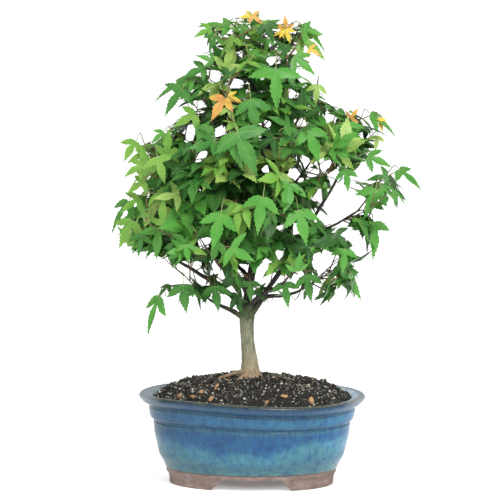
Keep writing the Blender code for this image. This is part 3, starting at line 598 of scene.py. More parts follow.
def mark_heights(thing, levels):
    """Keeps each ring's height before the rim's warp as a UV, for the glaze to follow.

    Inside the lip's crest the marks go on upwards while the wall goes down.
    """
    mesh = thing.data
    crest = levels.argmax()
    marked = np.where(np.arange(len(levels)) < crest, 2 * levels[crest] - levels, levels)
    corners = np.empty(len(mesh.loops), np.int32)
    mesh.loops.foreach_get("vertex_index", corners)
    heights = marked[corners // POT_AROUND] / MARKED_HEIGHT
    marks = np.column_stack([corners % POT_AROUND / POT_AROUND, heights])
    mesh.uv_layers.new(name="height").data.foreach_set("uv", marks.astype(np.float32).ravel())


def make_pot(glaze, clay):
    bowl = Heap()
    levels = turned(GLAZED_PROFILE, PROFILE_STEPS, bowl)
    mark_heights(bowl.piece("bowl_glazed", glaze, "blue_glaze", ("pot_body",)), levels)
    band = Heap()
    turned(CLAY_PROFILE, CLAY_STEPS, band)
    band.piece("base_band", clay, "bare_clay", ("pot_base",))
    add_underside(clay)
    feet = Heap()
    for side in (-1, 1):
        add_foot(feet, side)
    feet.piece("feet", clay, "bare_clay", ("foot_left", "foot_right"))


def solid_thing(name, rings):
    """A closed solid between two flat rings of points."""
    return new_thing(name, new_mesh(name, np.vstack(rings), ring_faces(2, len(rings[0]))))


def add_underside(clay):
    """The base plate's underside with its two drain holes."""
    turns = full_turn(POT_AROUND)
    rim = np.column_stack([*oval(PLATE_INSET, turns), np.full(POT_AROUND, BASE_LOW)])
    thing = solid_thing("underside", (rim, rim + UP * PLATE_THICKNESS))
    thing.data.materials.append(clay)
    turns = full_turn(DRAIN_SIDES)
    for side in (-1, 1):
        x = side * DRAIN_SPACING + DRAIN_RADIUS * np.cos(turns)
        ring = np.column_stack([x, DRAIN_RADIUS * np.sin(turns), np.full(DRAIN_SIDES, BASE_LOW)])
        drain = solid_thing("drain", (ring - UP * PLATE_THICKNESS, ring + UP * 2 * PLATE_THICKNESS))
        cut = thing.modifiers.new("drain", "BOOLEAN")
        cut.operation = "DIFFERENCE"
        cut.solver = "EXACT"
        cut.object = drain
        apply_modifiers(thing)
        bpy.data.objects.remove(drain, do_unlink=True)
    dress(thing)


def apply_modifiers(thing):
    bpy.context.view_layer.update()
    seen = thing.evaluated_get(bpy.context.evaluated_depsgraph_get())
    done = bpy.data.meshes.new_from_object(seen)
    thing.modifiers.clear()
    thing.data = done


def arch_half(z):
    """Half the width of the arch between the feet at a height."""
    slope_top = ARCH_TOP_HALF + ARCH_CORNER
    straight = ARCH_TOP - ARCH_CORNER
    if z <= straight:
        return ARCH_FOOT_HALF + (slope_top - ARCH_FOOT_HALF) * z / straight
    rise = (z - straight) / ARCH_CORNER
    return slope_top - ARCH_CORNER * (1 - math.sqrt(max(0.0, 1 - rise**2)))


def add_foot(heap, side):
    rings = []
    for z in FOOT_LEVELS:
        round_off = FOOT_EDGE * (1 - math.sqrt(1 - (1 - min(z / FOOT_EDGE, 1)) ** 2))
        inset = FOOT_INSET + round_off - FOOT_FLARE * min(z / BASE_LOW, 1) ** 4
        a, b = HALF_LENGTH - inset, HALF_DEPTH - inset
        edge = arch_half(min(z, ARCH_TOP)) + round_off
        half = math.acos(edge / a)
        turns = np.linspace(-half, half, FOOT_ARC)
        outer = np.stack([side * a * np.cos(turns), side * b * np.sin(turns)], axis=1)
        back = np.linspace(outer[-1], outer[0], FOOT_BACK)[1:-1]
        ring = np.vstack([outer, back])
        waver = np.array([rough((*p, z), FOOT_WAVER_SIZE, 7.0) for p in ring]) * FOOT_WAVER
        ring = ring * (1 + waver / 60)[:, None]
        rings.append(np.column_stack([ring, np.full(len(ring), z)]))
    heap.add(np.vstack(rings), ring_faces(len(rings), len(rings[0])))


SOIL_HALF = (89.2, 58.7)
SOIL_EDGE = 78.5
SOIL_RISE = 16.5
SOIL_FOOT = 64.0
SOIL_POWER = 5.0
SOIL_SEED = 11
# The soil is heaped a little higher round the trunk.
SOIL_HEAP = 4.2
SOIL_HEAP_X = -2.0
SOIL_HEAP_REACH = 26.0
MOUND_RINGS = 74
MOUND_SIDES = 200
# The mound's rings lie closer at its edge, and stop just short of its middle.
MOUND_CROWDING = 1.3
MOUND_CLOSED = 0.995
MOUND_GRAIN = 0.9
MOUND_GRAIN_SIZE = 2.6


def on_mound(share, cosine, sine):
    """A place on the mound: share of its reach, and a direction."""
    return SOIL_HALF[0] * share * cosine, SOIL_HALF[1] * share * sine


def soil_height(x, y):
    share = min(math.hypot(x / SOIL_HALF[0], y / SOIL_HALF[1]), 1.0)
    base = SOIL_EDGE + SOIL_RISE * (1 - share**SOIL_POWER)
    lump = 1.5 * rough((x, y, 0), 17.0, 1.0) + 0.9 * rough((x, y, 0), 6.0, 5.0)
    heaped = SOIL_HEAP * math.exp(-((x - SOIL_HEAP_X) ** 2 + y**2) / SOIL_HEAP_REACH**2)
    return base + heaped + lump * (1 - share**6)


# Grains of the mix: name, count, size range, flatness, dark and light tone.
GRAINS = (
    ("soil_chips", 1500, (1.6, 4.4), 0.45, (0.007, 0.006, 0.005), (0.048, 0.040, 0.032)),
    ("soil_crumbs", 2600, (0.9, 2.4), 0.8, (0.010, 0.009, 0.008), (0.070, 0.066, 0.056)),
    ("soil_grit", 1300, (1.3, 3.2), 0.6, (0.12, 0.12, 0.098), (0.30, 0.29, 0.24)),
    ("soil_perlite", 420, (1.1, 3.0), 0.6, (0.40, 0.39, 0.34), (0.78, 0.76, 0.70)),
    ("soil_tan_bark", 34, (1.6, 3.4), 0.6, (0.42, 0.21, 0.095), (0.68, 0.43, 0.22)),
    ("soil_pink_bits", 16, (1.4, 3.0), 0.7, (0.42, 0.25, 0.19), (0.60, 0.42, 0.34)),
)
# Larger tan pieces that catch the eye: x, y, size.
TAN_PIECES = (
    (-36.5, -48, 9.0),
    (-32, -34, 6.6),
    (-53, -41, 6.4),
    (-65, -33, 6.0),
    (29, -47, 6.4),
    (52.4, -44, 6.8),
    (-22, -22, 5.4),
    (13, -55, 5.0),
    (-46, -38, 4.2),
)
GRAIN_SHAPES = 14
# Grains lie closer on the mound's steep edge, and a few lie on the lip.
GRAIN_REACH = 1.015
GRAIN_CROWDING = 0.40
GRAIN_LUMPS = (0.62, 1.25)
GRAIN_LONG = (0.9, 1.4)
GRAIN_LIFT = 0.35
# The pink bits lie round the trunk's foot: share of the mound's reach, bearing.
PINK_SHARE = (0.08, 0.3)
PINK_TURN = (-2.6, 0.5)
# Fibres that stick out of the mix: how many, length, rise, stray of their bend, sag and radii.
FIBRES = 150
FIBRE_LENGTH = (2.5, 8.0)
FIBRE_RISE = (0.0, 0.5)
FIBRE_BEND = 0.35
FIBRE_SAG = 0.35
FIBRE_RADII = (0.22, 0.2, 0.16, 0.1)


def grain_shapes(rng):
    """A few rough lumps: a small ball with its points pushed about."""
    shapes = []
    for _ in range(GRAIN_SHAPES):
        shape = bmesh.new()
        bmesh.ops.create_icosphere(shape, subdivisions=1, radius=1.0)
        verts = np.array([v.co for v in shape.verts])
        faces = [[v.index for v in f.verts] for f in shape.faces]
        shape.free()
        shapes.append((verts * rng.uniform(*GRAIN_LUMPS, (len(verts), 1)), faces))
    return shapes


def turned_about(rng):
    """A random rotation."""
    q, _ = np.linalg.qr(rng.normal(size=(3, 3)))
    return q


def make_soil():
    rng = np.random.default_rng(SOIL_SEED)
    make_mound()
    shapes = grain_shapes(rng)
    for row in GRAINS:
        make_grains(rng, shapes, *row)
    make_fibres(rng)


def make_mound():
    """The mound from its edge to its middle, with a skirt down inside the pot."""
    turns = full_turn(MOUND_SIDES)
    rings = []
    for k in range(MOUND_RINGS):
        share = 1.0 - (k / MOUND_RINGS) ** MOUND_CROWDING * MOUND_CLOSED
        x, y = on_mound(share, np.cos(turns), np.sin(turns))
        z = [soil_height(*p) + MOUND_GRAIN * rough((*p, 3), MOUND_GRAIN_SIZE) for p in zip(x, y)]
        rings.append(np.stack([x, y, z], axis=1))
    skirt = rings[0].copy()
    skirt[:, 2] = SOIL_FOOT
    rings.insert(0, skirt)
    mound = Heap()
    mound.add(np.vstack(rings), ring_faces(len(rings), MOUND_SIDES))
    earth = crumb_look("soil", (0.007, 0.006, 0.005), (0.034, 0.030, 0.024), 2.5)
    mound.piece("soil_mound", earth, "soil", ("soil",))


def make_grains(rng, shapes, name, count, sizes, flat, dark, light):
    """One kind of grain, strewn over the mound."""
    small, large = sizes
    heap = Heap()
    spots = []
    for _ in range(count):
        share = GRAIN_REACH * rng.uniform(0, 1) ** GRAIN_CROWDING
        turn = rng.uniform(0, 2 * math.pi)
        if name == "soil_pink_bits":
            share = rng.uniform(*PINK_SHARE)
            turn = rng.uniform(*PINK_TURN)
        x, y = on_mound(share, math.cos(turn), math.sin(turn))
        spots.append((x, y, small + (large - small) * rng.uniform(0, 1) ** 2))
    if name == "soil_tan_bark":
        spots += TAN_PIECES
    for x, y, size in spots:
        verts, faces = shapes[rng.integers(GRAIN_SHAPES)]
        long = rng.uniform(*GRAIN_LONG)
        lump = verts * (size / 2 * long, size / 2, size / 2 * flat) @ turned_about(rng)
        lift = size * rng.uniform(0.0, GRAIN_LIFT)
        heap.add(lump + (x, y, soil_height(x, y) + lift), faces)
    heap.piece(name, crumb_look(name, dark, light, 1.8), "soil", smooth=False)


def make_fibres(rng):
    """Root hairs and bark fibres that stick out of the mix."""
    heap = Heap()
    for _ in range(FIBRES):
        share = math.sqrt(rng.uniform(0, 0.95))
        turn = rng.uniform(0, 2 * math.pi)
        x, y = on_mound(share, math.cos(turn), math.sin(turn))
        heading = rng.uniform(0, 2 * math.pi)
        length = rng.uniform(*FIBRE_LENGTH)
        start = np.array((x, y, soil_height(x, y) + 0.3))
        way = np.array((math.cos(heading), math.sin(heading), rng.uniform(*FIBRE_RISE)))
        bend = rng.normal(0, FIBRE_BEND, 3) - UP * FIBRE_SAG
        path = [start + way * length * t + bend * length * t * t for t in (0, 0.35, 0.7, 1)]
        heap.add(*tube(path, FIBRE_RADII, 4))
    look = crumb_look("soil_fibres", (0.16, 0.11, 0.07), (0.36, 0.28, 0.19), 3.0)
    heap.piece("soil_fibres", look, "soil")


# The limbs follow the source's rule. The trunk's course runs from below the soil to its fork.
TRUNK_COURSE = (
    (-2.0, 0.0, 90.0),
    (-2.0, 0.0, 95.3),
    (-2.6, 0.0, 112.0),
    (-4.6, 0.3, 132.0),
    (-5.4, 0.4, 148.0),
    (-5.0, 0.3, 166.0),
)
# Trunk radius by height.
TRUNK_GIRTH = (
    (93.0, 13.0),
    (98.5, 11.2),
    (101.5, 9.6),
    (105.5, 8.4),
    (110.0, 7.6),
    (116.0, 7.1),
    (122.0, 6.5),
    (131.3, 6.0),
    (145.3, 6.3),
    (152.0, 6.8),
    (157.0, 7.3),
    (162.0, 6.6),
    (166.0, 5.6),
)
# Roots along the soil: bearing, length, thickness.
ROOTS = ((186.0, 29.0, 3.0), (236.0, 20.0, 2.8), (335.0, 12.0, 3.4), (70.0, 17.0, 3.6))
ROOT_START = (-2.0, 0.0, 98.6)
ROOT_STEPS = 22
ROOT_SIDES = 18
ROOT_RISE = 5.4
ROOT_DIVE = 8.4
ROOT_SWAY = 0.09
ROOT_THINNING = 0.62
LEADER_COURSE = (
    (-5.0, 0.3, 158.0),
    (-5.0, 0.3, 166.3),
    (-2.0, 2.0, 190.0),
    (5.0, 3.0, 228.0),
    (15.0, 2.0, 268.0),
    (20.0, 0.0, 308.0),
    (19.0, 0.0, 345.0),
    (13.0, 0.0, 368.0),
)
LEADER_FOOT_RADIUS = 4.4
LEADER_TIP_RADIUS = 1.3
LEADER_TAPER = 0.8
LEADER_FOOT = 166.3
LEADER_TOP = 368.0
# Points along the limbs and round them.
TRUNK_STEPS = 64
TRUNK_SIDES = 40
LEADER_STEPS = 90
LEADER_SIDES = 16
STUB_SIDES = 24
BOUGH_STEPS = 26
BOUGH_SIDES = 12
BOUGH_FOOT_SIDES = 16
BOUGH_RADIUS = 2.1
LOW_BOUGH_RADIUS = 2.6
BOUGH_TIP_RADIUS = 1.1
BOUGH_LEAN = 42.0
LOW_BOUGH_LEAN = 26.0
LOW_BOUGH_BELOW = 170.0
BOUGH_FOOT_PULL = 0.38
BOUGH_TIP_PULL = 0.34
BOUGH_TIP_RISE = 0.15
BOUGH_SHORT_OF_SITE = 26.0
CARRIER_RADIUS = {"trunk": 7.4, "leader": 4.0}
FORK_STUB = 13.0
# How many steps of a bough on the trunk belong to the trunk's skin, and how much narrower the
# rest of it starts inside that.
SKINNED = 7
SKINNED_START = 0.6
# How many steps of the leader lie inside the trunk, and how far its bark lies under the skin.
LEADER_SKIPPED = 8
LEADER_SHRINK = 0.99
# A bough's heel lies inside its carrier: share of the carrier's radius inwards, and down.
HEEL_IN = 0.8
HEEL_DOWN = 2.0
HEEL_WIDTH = {"trunk": 1.1, "leader": 1.5}
# How a bough swells at its foot, over how many steps, and how it wavers further on.
FOOT_SWELL = {"trunk": 0.15, "leader": 0.45}
FOOT_FADE = 2.2
BOUGH_WAVER = 1.6
WAVER_SIZE = 17.0
# A bough leaves the trunk's skin a little further in and further up.
TUCK_IN = 0.4
TUCK_UP = 4.0
# The trunk's skin: voxel size, how its joints melt, and the depths of its bark.
SKIN_VOXEL = 0.5
MELT_FACTOR = 0.6
MELT_TURNS = 6
BARK_RIDGE = 0.20
BARK_RING = 0.16
BARK_SWELL = 0.36

# Masses of leaves: name, site, the limb that carries the bough, its height there, its bearing.
MASSES = (
    ("top_right", (28, -4, 394), "leader", None, None),
    ("top_left", (-24, 2, 396), "leader", 342, None),
    ("upper_left", (-46, 2, 350), "leader", 302, None),
    ("upper_right", (50, -8, 352), "leader", 314, None),
    ("upper_front", (-4, -44, 335), "leader", 286, None),
    ("upper_back", (4, 46, 338), "leader", 294, None),
    ("mid_left", (-80, -12, 288), "leader", 240, None),
    ("mid_right", (88, -6, 308), "trunk", 153, -25),
    ("mid_front", (20, -62, 272), "leader", 222, None),
    ("mid_front_left", (-40, -54, 282), "leader", 262, None),
    ("mid_back", (-12, 66, 278), "leader", 231, None),
    ("back_right", (52, 56, 290), "leader", 252, None),
    ("right", (100, 8, 254), "leader", 206, 20),
    ("low_left", (-94, 6, 228), "trunk", 158, 155),
    ("front_left", (-44, -58, 226), "leader", 177, -130),
    ("front_right", (42, -58, 212), "trunk", 157, -78),
    ("low_back", (-40, 60, 222), "leader", 186, None),
    ("low_back_right", (46, 58, 224), "leader", 214, None),
    ("skirt_right", (64, -4, 192), "trunk", 160, 30),
    ("skirt_left", (-58, -14, 188), "trunk", 151, 208),
)


def level_way(bearing):
    turn = math.radians(bearing)
    return np.array((math.cos(turn), math.sin(turn), 0.0))


def bark_relief(amount, size, stretch):
    """Fine ridges that run along a limb."""

    def relief(point):
        tall = (point[0], point[1], point[2] * stretch)
        return 1 + amount * rough(tall, size) + 0.5 * amount * rough(tall, size * 0.45, 9.0)

    return relief


def girth(path):
    rows = np.array(TRUNK_GIRTH)
    return np.interp(path[:, 2], rows[:, 0], rows[:, 1])


def root_tube(bearing, length, thick):
    out = level_way(bearing)
    across = np.array((-out[1], out[0], 0.0))
    share = np.linspace(0, 1, ROOT_STEPS)[:, None]
    sway = np.sin(share * math.pi * 1.3) * ROOT_SWAY * length
    rise = (ROOT_RISE - ROOT_DIVE * share**1.5) * UP
    spine = ROOT_START + out * length * share + across * sway + rise
    return tube(spine, thick * (1 - ROOT_THINNING * share[:, 0]), ROOT_SIDES)


def bough_path(site, carrier, carrier_path, height, bearing):
    """A bough's curve from its carrier to its mass, its radii, and its heel inside the carrier."""
    site = np.array(site, float)
    middle = np.array([np.interp(height, carrier_path[:, 2], carrier_path[:, k]) for k in range(3)])
    if bearing is None:
        bearing = math.degrees(math.atan2(*(site - middle)[1::-1]))
    low = height < LOW_BOUGH_BELOW
    radius = LOW_BOUGH_RADIUS if low else BOUGH_RADIUS
    lean = math.radians(LOW_BOUGH_LEAN if low else BOUGH_LEAN)
    out = level_way(bearing)
    start = middle + out * CARRIER_RADIUS[carrier]
    first = out * math.sin(lean) + UP * math.cos(lean)
    last = unit(unit(site - start) + (0, 0, BOUGH_TIP_RISE))
    tip = site - last * BOUGH_SHORT_OF_SITE
    span = np.linalg.norm(tip - start)
    near_start = start + first * span * BOUGH_FOOT_PULL
    near_tip = tip - last * span * BOUGH_TIP_PULL
    share = np.linspace(0, 1, BOUGH_STEPS)[:, None]
    rest = 1 - share
    path = start * rest**3 + 3 * near_start * share * rest**2
    path = path + 3 * near_tip * share**2 * rest + tip * share**3
    radii = radius + (BOUGH_TIP_RADIUS - radius) * share[:, 0]
    return path, radii, start - out * CARRIER_RADIUS[carrier] * HEEL_IN - UP * HEEL_DOWN


def wavered(path, amount, seed):
    """A limb's small bends between its fixed ends."""
    share = np.linspace(0, 1, len(path))
    bend = [[rough((*p[:2], p[2] * 0.8), WAVER_SIZE, seed + k * 7) for k in range(3)] for p in path]
    return path + np.array(bend) * amount * np.sin(share * math.pi)[:, None]


def make_limbs(bark, dark_bark):
    """Trunk with its roots and fork in one skin, then the leader and the boughs.

    Returns each limb's line with its radii, and each mass's starting point and direction.
    """
    trunk_path = course(TRUNK_COURSE, TRUNK_STEPS)
    leader_path = course(LEADER_COURSE, LEADER_STEPS)
    share = np.clip((leader_path[:, 2] - LEADER_FOOT) / (LEADER_TOP - LEADER_FOOT), 0, 1)
    leader_radii = LEADER_FOOT_RADIUS + (LEADER_TIP_RADIUS - LEADER_FOOT_RADIUS) * share**LEADER_TAPER
    skinned, limbs = Heap(), Heap()
    skinned.add(*tube(trunk_path, girth(trunk_path), TRUNK_SIDES))
    for root in ROOTS:
        skinned.add(*root_tube(*root))
    stub = leader_path[:, 2] < LEADER_FOOT + FORK_STUB
    skinned.add(*tube(leader_path[stub], leader_radii[stub], STUB_SIDES))
    upper = slice(LEADER_SKIPPED, None)
    relief = bark_relief(0.09, 3.0, 0.25)
    limbs.add(*tube(leader_path[upper], leader_radii[upper] * LEADER_SHRINK, LEADER_SIDES, relief))
    carriers = {"trunk": trunk_path, "leader": leader_path}
    lines = [(trunk_path, girth(trunk_path)), (leader_path, leader_radii)]
    ends = {}
    for number, (name, site, carrier, height, bearing) in enumerate(MASSES):
        path = leader_path
        if height is not None:
            path, radii, heel = bough_path(site, carrier, carriers[carrier], height, bearing)
            lines.append((path, radii))
            add_bough(skinned, limbs, carrier, number, path, radii, heel)
        ends[name] = (path[-1], unit(path[-1] - path[-2]))
    skin(skinned.piece("trunk_bark", bark, "bark", ("trunk",)))
    names = ["leader"] + ["bough_" + row[0] for row in MASSES if row[3] is not None]
    limbs.piece("limb_bark", dark_bark, "twig_bark", names)
    return lines, ends


def add_bough(skinned, limbs, carrier, number, path, radii, heel):
    """One bough. Where the trunk carries it, its foot belongs to the trunk's skin."""
    fine = wavered(path, BOUGH_WAVER, number)
    near_foot = np.exp(-np.linspace(0, len(path), len(path)) / FOOT_FADE)
    if carrier == "trunk":
        fine += near_foot[:, None] * ((heel - path[0]) * TUCK_IN + UP * TUCK_UP)
    full = np.vstack([heel, fine])
    swollen = radii * (1 + FOOT_SWELL[carrier] * near_foot)
    wide = np.concatenate([[radii[0] * HEEL_WIDTH[carrier]], swollen])
    if carrier == "trunk":
        skinned.add(*tube(full[:SKINNED], wide[:SKINNED], BOUGH_FOOT_SIDES))
        full, wide = full[SKINNED - 2 :], wide[SKINNED - 2 :]
        wide[0] *= SKINNED_START
    limbs.add(*tube(full, wide, BOUGH_SIDES, bark_relief(0.10, 2.6, 0.3)))


def skin(thing):
    """Melts the joined tubes into one skin and works the bark's relief into it."""
    remesh = thing.modifiers.new("skin", "REMESH")
    remesh.mode = "VOXEL"
    remesh.voxel_size = SKIN_VOXEL * MM
    melt = thing.modifiers.new("melt", "SMOOTH")
    melt.factor = MELT_FACTOR
    melt.iterations = MELT_TURNS
    apply_modifiers(thing)
    mesh = thing.data
    count = len(mesh.vertices)
    spots = np.empty(count * 3, np.float32)
    normals = np.empty(count * 3, np.float32)
    mesh.vertices.foreach_get("co", spots)
    mesh.vertex_normals.foreach_get("vector", normals)
    spots, normals = spots.reshape(-1, 3).astype(float), normals.reshape(-1, 3)
    push = []
    for x, y, z in spots / MM:
        ridges = BARK_RIDGE * (rough((x, y, z * 0.3), 2.2) + rough((x, y, z * 0.4), 1.1, 4.0))
        rings = BARK_RING * rough((x * 0.3, y * 0.3, z), 2.4, 8.0)
        push.append(ridges + rings + BARK_SWELL * rough((x, y, z * 0.6), 9.0, 2.0))
    spots += normals * np.array(push)[:, None] * MM
    mesh.vertices.foreach_set("co", spots.astype(np.float32).ravel())
    mesh.shade_smooth()
    mesh.update()


# The crown's outline as the photograph shows it: height, reach to the left, to the right.
CROWN_OUTLINE = (
    (157, 70, 26),
    (161, 84, 34),
    (166, 88, 58),
    (172, 92, 98),
    (180, 87, 96),
    (188, 77, 96),
    (196, 77, 96),
    (205, 87, 90),
    (210, 120, 108),
    (216, 123, 112),
    (227, 130, 113),
    (237, 126, 120),
    (243, 122, 106),
    (249, 122, 105),
    (254, 118, 141),
    (260, 116, 144),
    (270, 117, 147),
    (276, 117, 150),
    (281, 108, 130),
    (287, 107, 130),
    (292, 118, 126),
    (298, 116, 117),
    (304, 112, 112),
    (309, 106, 114),
    (314, 86, 119),
    (320, 85, 130),
    (326, 80, 120),
    (331, 78, 114),
    (336, 88, 97),
    (342, 82, 98),
    (347, 93, 67),
    (353, 86, 66),
    (358, 79, 60),
    (364, 71, 60),
    (369, 69, 56),
    (375, 66, 56),
    (380, 60, 54),
    (386, 50, 69),
    (391, 52, 65),
    (397, 45, 60),
    (402, 47, 62),
    (408, 55, 60),
    (414, 53, 64),
    (419, 34, 50),
    (424, 17, 30),
    (431, 10, 9),
)
# Its reach to the front and the back: height, front, back.
CROWN_DEPTH = (
    (148, 46, 46),
    (164, 62, 62),
    (176, 76, 78),
    (200, 92, 94),
    (226, 100, 102),
    (256, 106, 106),
    (284, 106, 106),
    (310, 98, 100),
    (330, 90, 92),
    (350, 80, 82),
    (372, 66, 66),
    (404, 52, 52),
    (418, 44, 44),
    (426, 30, 30),
    (431, 12, 12),
)
CROWN_SQUARENESS = 2.6
CROWN_HEART = np.array((2.0, 0.0, 262.0))

# Patches of sky between the sprays, seen from the front: x, height, half sizes, tilt in degrees.
SKY = (
    (82, 255, 18, 12, 10),
    (107, 286, 16, 10, 14),
    (65, 203, 12, 7, 22),
    (-65, 339, 22, 4, 25),
    (-84, 345, 12, 5, 35),
    (94, 222, 11, 5, -50),
    (-50, 401, 8, 5, -48),
    (51, 372, 9, 4, -48),
    (-47, 187, 8, 4, -40),
    (-70, 190, 8, 4, 80),
    (42, 233, 8, 5, 55),
    (-73, 168, 7, 5, 60),
    (102, 338, 7, 4, -55),
    (43, 394, 7, 5, 15),
    (38, 282, 6, 4, -68),
    (-58, 319, 7, 4, 80),
    (73, 282, 5, 4, 0),
    (56, 383, 5, 4, -30),
    (-44, 221, 6, 3, 25),
    (-80, 198, 6, 4, -75),
    (64, 291, 7, 2, 55),
)
OUTWARD_FREE = 4.0

TWIGS_A_MASS = 9
TWIGS_FROM = 0.08
TWIGS_SPAN = 0.86
TWIG_TURN_STRAY = 0.3
TWIG_SPREAD = 62.0
TWIG_SPREAD_LOSS = 20.0
TWIG_LENGTH = 32.0
TWIG_LENGTH_STRAY = 0.2
TWIG_RISE = 0.1
FINE_PLACES = (0.3, 0.55, 0.8)
FINE_LENGTH = (9.0, 17.0)
FINE_SPREAD = 0.8
STEM_RADIUS = 1.0
TWIG_RADIUS = 0.75
FINE_RADIUS = 0.5
TIP_RADIUS = 0.34
STALK_RADIUS = 0.34
STEM_PAST_SITE = 16.0
LEAVES_A_MASS = 34
PAIR_PLACES = (1.0, 0.7, 0.4)
LEAF_LENGTH = (20.0, 34.0)
LEAF_SHRINK = 0.35
TOP_LEAF_SHARE = 0.76
STALK_LENGTH = (0.22, 0.55)
LEAF_TRIES = 22
LEAF_APART = 2.3
LIMB_APART = 1.2
BLADE_SAMPLES = np.array((1, 5, 9, 13, 16, 22, 26, 40, 60, 80))
TOOTH = 0.034
FRONT_FACING = 0.4
FRONT_FROM = 30.0
SKY_SHARE = 0.95
FIRST_SEED = 100
SOWN_ANEW = {"top_left": 201, "upper_back": 206}
FILL_SEED = 31
FILL_TRIES = 6000
FILL_APART = 15.5
FILL_LONGEST = 52.0
KEPT_SHARE = 0.36
KEPT_WIDTH = 0.88
# The fork stays in view: x, height, radius, depth of the leaves that may not cover it.
OPEN_FORK = ((-5.0, 157.0, 12.0, 20.0), (-4.0, 142.0, 18.0, 20.0))
# Further small gaps strewn over the crown's view: count, heights, whether on its right side only.
SMALL_SKY = (
    (18, (172, 400), False),
    (20, (180, 300), True),
    (21, (162, 202), False),
    (5, (162, 196), True),
)
SMALL_SKY_SEED = 5
SMALL_SKY_HALF = ((2.6, 6.0), (1.6, 3.2))
SMALL_SKY_WITHIN = 0.92
RIGHT_SIDE_FROM = 20
# How far some parts of the crown stay short of its reach, and over what length that changes.
RAGGED = 6.5
RAGGED_SIZE = 15.0

# Leaves that the photograph shows whole: foot and tip (x, height) as seen against the plane
# through the pot's centre line, depth, tint.
KEPT_LEAVES = (
    (18.5, 376.6, 18.5, 337.3, -62, "bright"),
    (-22.0, 319.0, -11.3, 284.0, -84, "bright"),
    (-15.8, 320.0, 4.8, 279.0, -88, "green"),
    (56.3, 363.8, 53.6, 345.0, -24, "pale"),
    (109.7, 270.2, 99.5, 241.0, -34, "bright"),
    (120.2, 282.0, 99.4, 279.7, -22, "green"),
    (82.2, 287.5, 85.9, 265.8, -48, "bright"),
    (102.0, 299.8, 126.2, 291.6, -16, "bright"),
    (74.0, 230.3, 88.0, 213.5, -52, "deep"),
    (82.4, 215.2, 80.6, 190.7, -40, "bright"),
    (48.0, 191.0, 53.6, 165.4, -42, "green"),
    (28.4, 184.0, 32.0, 158.9, -40, "green"),
    (-63.5, 181.0, -61.7, 153.6, -36, "green"),
    (-34.7, 180.0, -32.0, 155.4, -40, "green"),
    (-94.0, 282.4, -104.9, 310.3, -24, "fresh"),
    (-79.0, 300.0, -77.0, 325.0, -34, "fresh"),
    (-87.3, 296.6, -78.8, 271.3, -46, "fresh"),
    (-68.3, 263.2, -93.4, 259.6, -56, "pale"),
    (-100.0, 275.0, -117.1, 264.4, -28, "fresh"),
    (-104.0, 260.0, -124.0, 246.3, -20, "fresh"),
    (34.7, 388.6, 56.3, 372.9, -28, "bright"),
    (26.6, 413.0, 26.6, 427.0, -14, "amber"),
    (26.6, 413.0, 32.6, 400.0, -20, "gold"),
    (24.8, 412.0, 14.0, 407.0, -16, "gold"),
    (-27.5, 351.0, -41.0, 329.0, -50, "amber"),
    (-25.0, 352.0, -10.0, 347.0, -48, "gold"),
    (-24.8, 342.5, -17.0, 328.0, -52, "pale"),
    (-3.0, 425.5, 7.5, 417.5, -8, "amber"),
    (-4.0, 425.0, -16.5, 423.5, -6, "gold"),
    (48.0, 396.0, 60.0, 390.0, -18, "amber"),
    (86.0, 334.0, 94.0, 344.0, -12, "amber"),
    (111.5, 334.0, 116.0, 320.5, -6, "gold"),
    (110.3, 318.0, 108.5, 303.0, -8, "pale"),
    (-4.0, 350.0, 2.0, 318.0, -76, "green"),
    (48.0, 322.0, 60.0, 292.0, -70, "bright"),
    (8.0, 262.0, 0.0, 226.0, -96, "bright"),
    (-30.0, 246.0, -38.0, 212.0, -92, "bright"),
    (40.0, 250.0, 50.0, 216.0, -88, "bright"),
    (-40.0, 413.0, -57.0, 406.0, -6, "fresh"),
    (-35.5, 407.6, -42.8, 391.2, -14, "green"),
    (-37.4, 384.0, -53.6, 392.0, -16, "bright"),
    (-46.0, 378.0, -67.0, 369.0, -14, "green"),
    (43.7, 413.0, 62.0, 409.5, -8, "bright"),
    (41.0, 406.0, 66.0, 387.0, -10, "fresh"),
    (-107.0, 311.0, -120.0, 292.5, -20, "fresh"),
    (-101.0, 290.0, -120.0, 281.0, -34, "fresh"),
    (-56.0, 366.0, -76.0, 360.0, -10, "bright"),
    (-109.6, 239.0, -124.0, 213.0, -18, "fresh"),
    (-86.0, 232.5, -87.5, 202.5, -34, "bright"),
    (-101.0, 226.0, -106.0, 205.0, -26, "green"),
    (-12.4, 416.0, -12.0, 402.0, -16, "green"),
    (11.0, 404.5, 9.0, 390.5, -22, "bright"),
    (-66.0, 358.0, -85.0, 335.0, -20, "green"),
    (-53.6, 336.0, -76.0, 325.0, -34, "fresh"),
    (-98.0, 301.0, -117.0, 293.0, -22, "fresh"),
    (-82.0, 320.0, -95.0, 309.0, -26, "bright"),
    (-14.0, 173.0, -24.0, 159.0, -30, "deep"),
    (-15.0, 168.0, -9.0, 153.0, -26, "deep"),
    (-3.0, 184.0, -2.0, 165.0, -34, "green"),
    (5.0, 178.0, 12.0, 165.0, -24, "deep"),
)

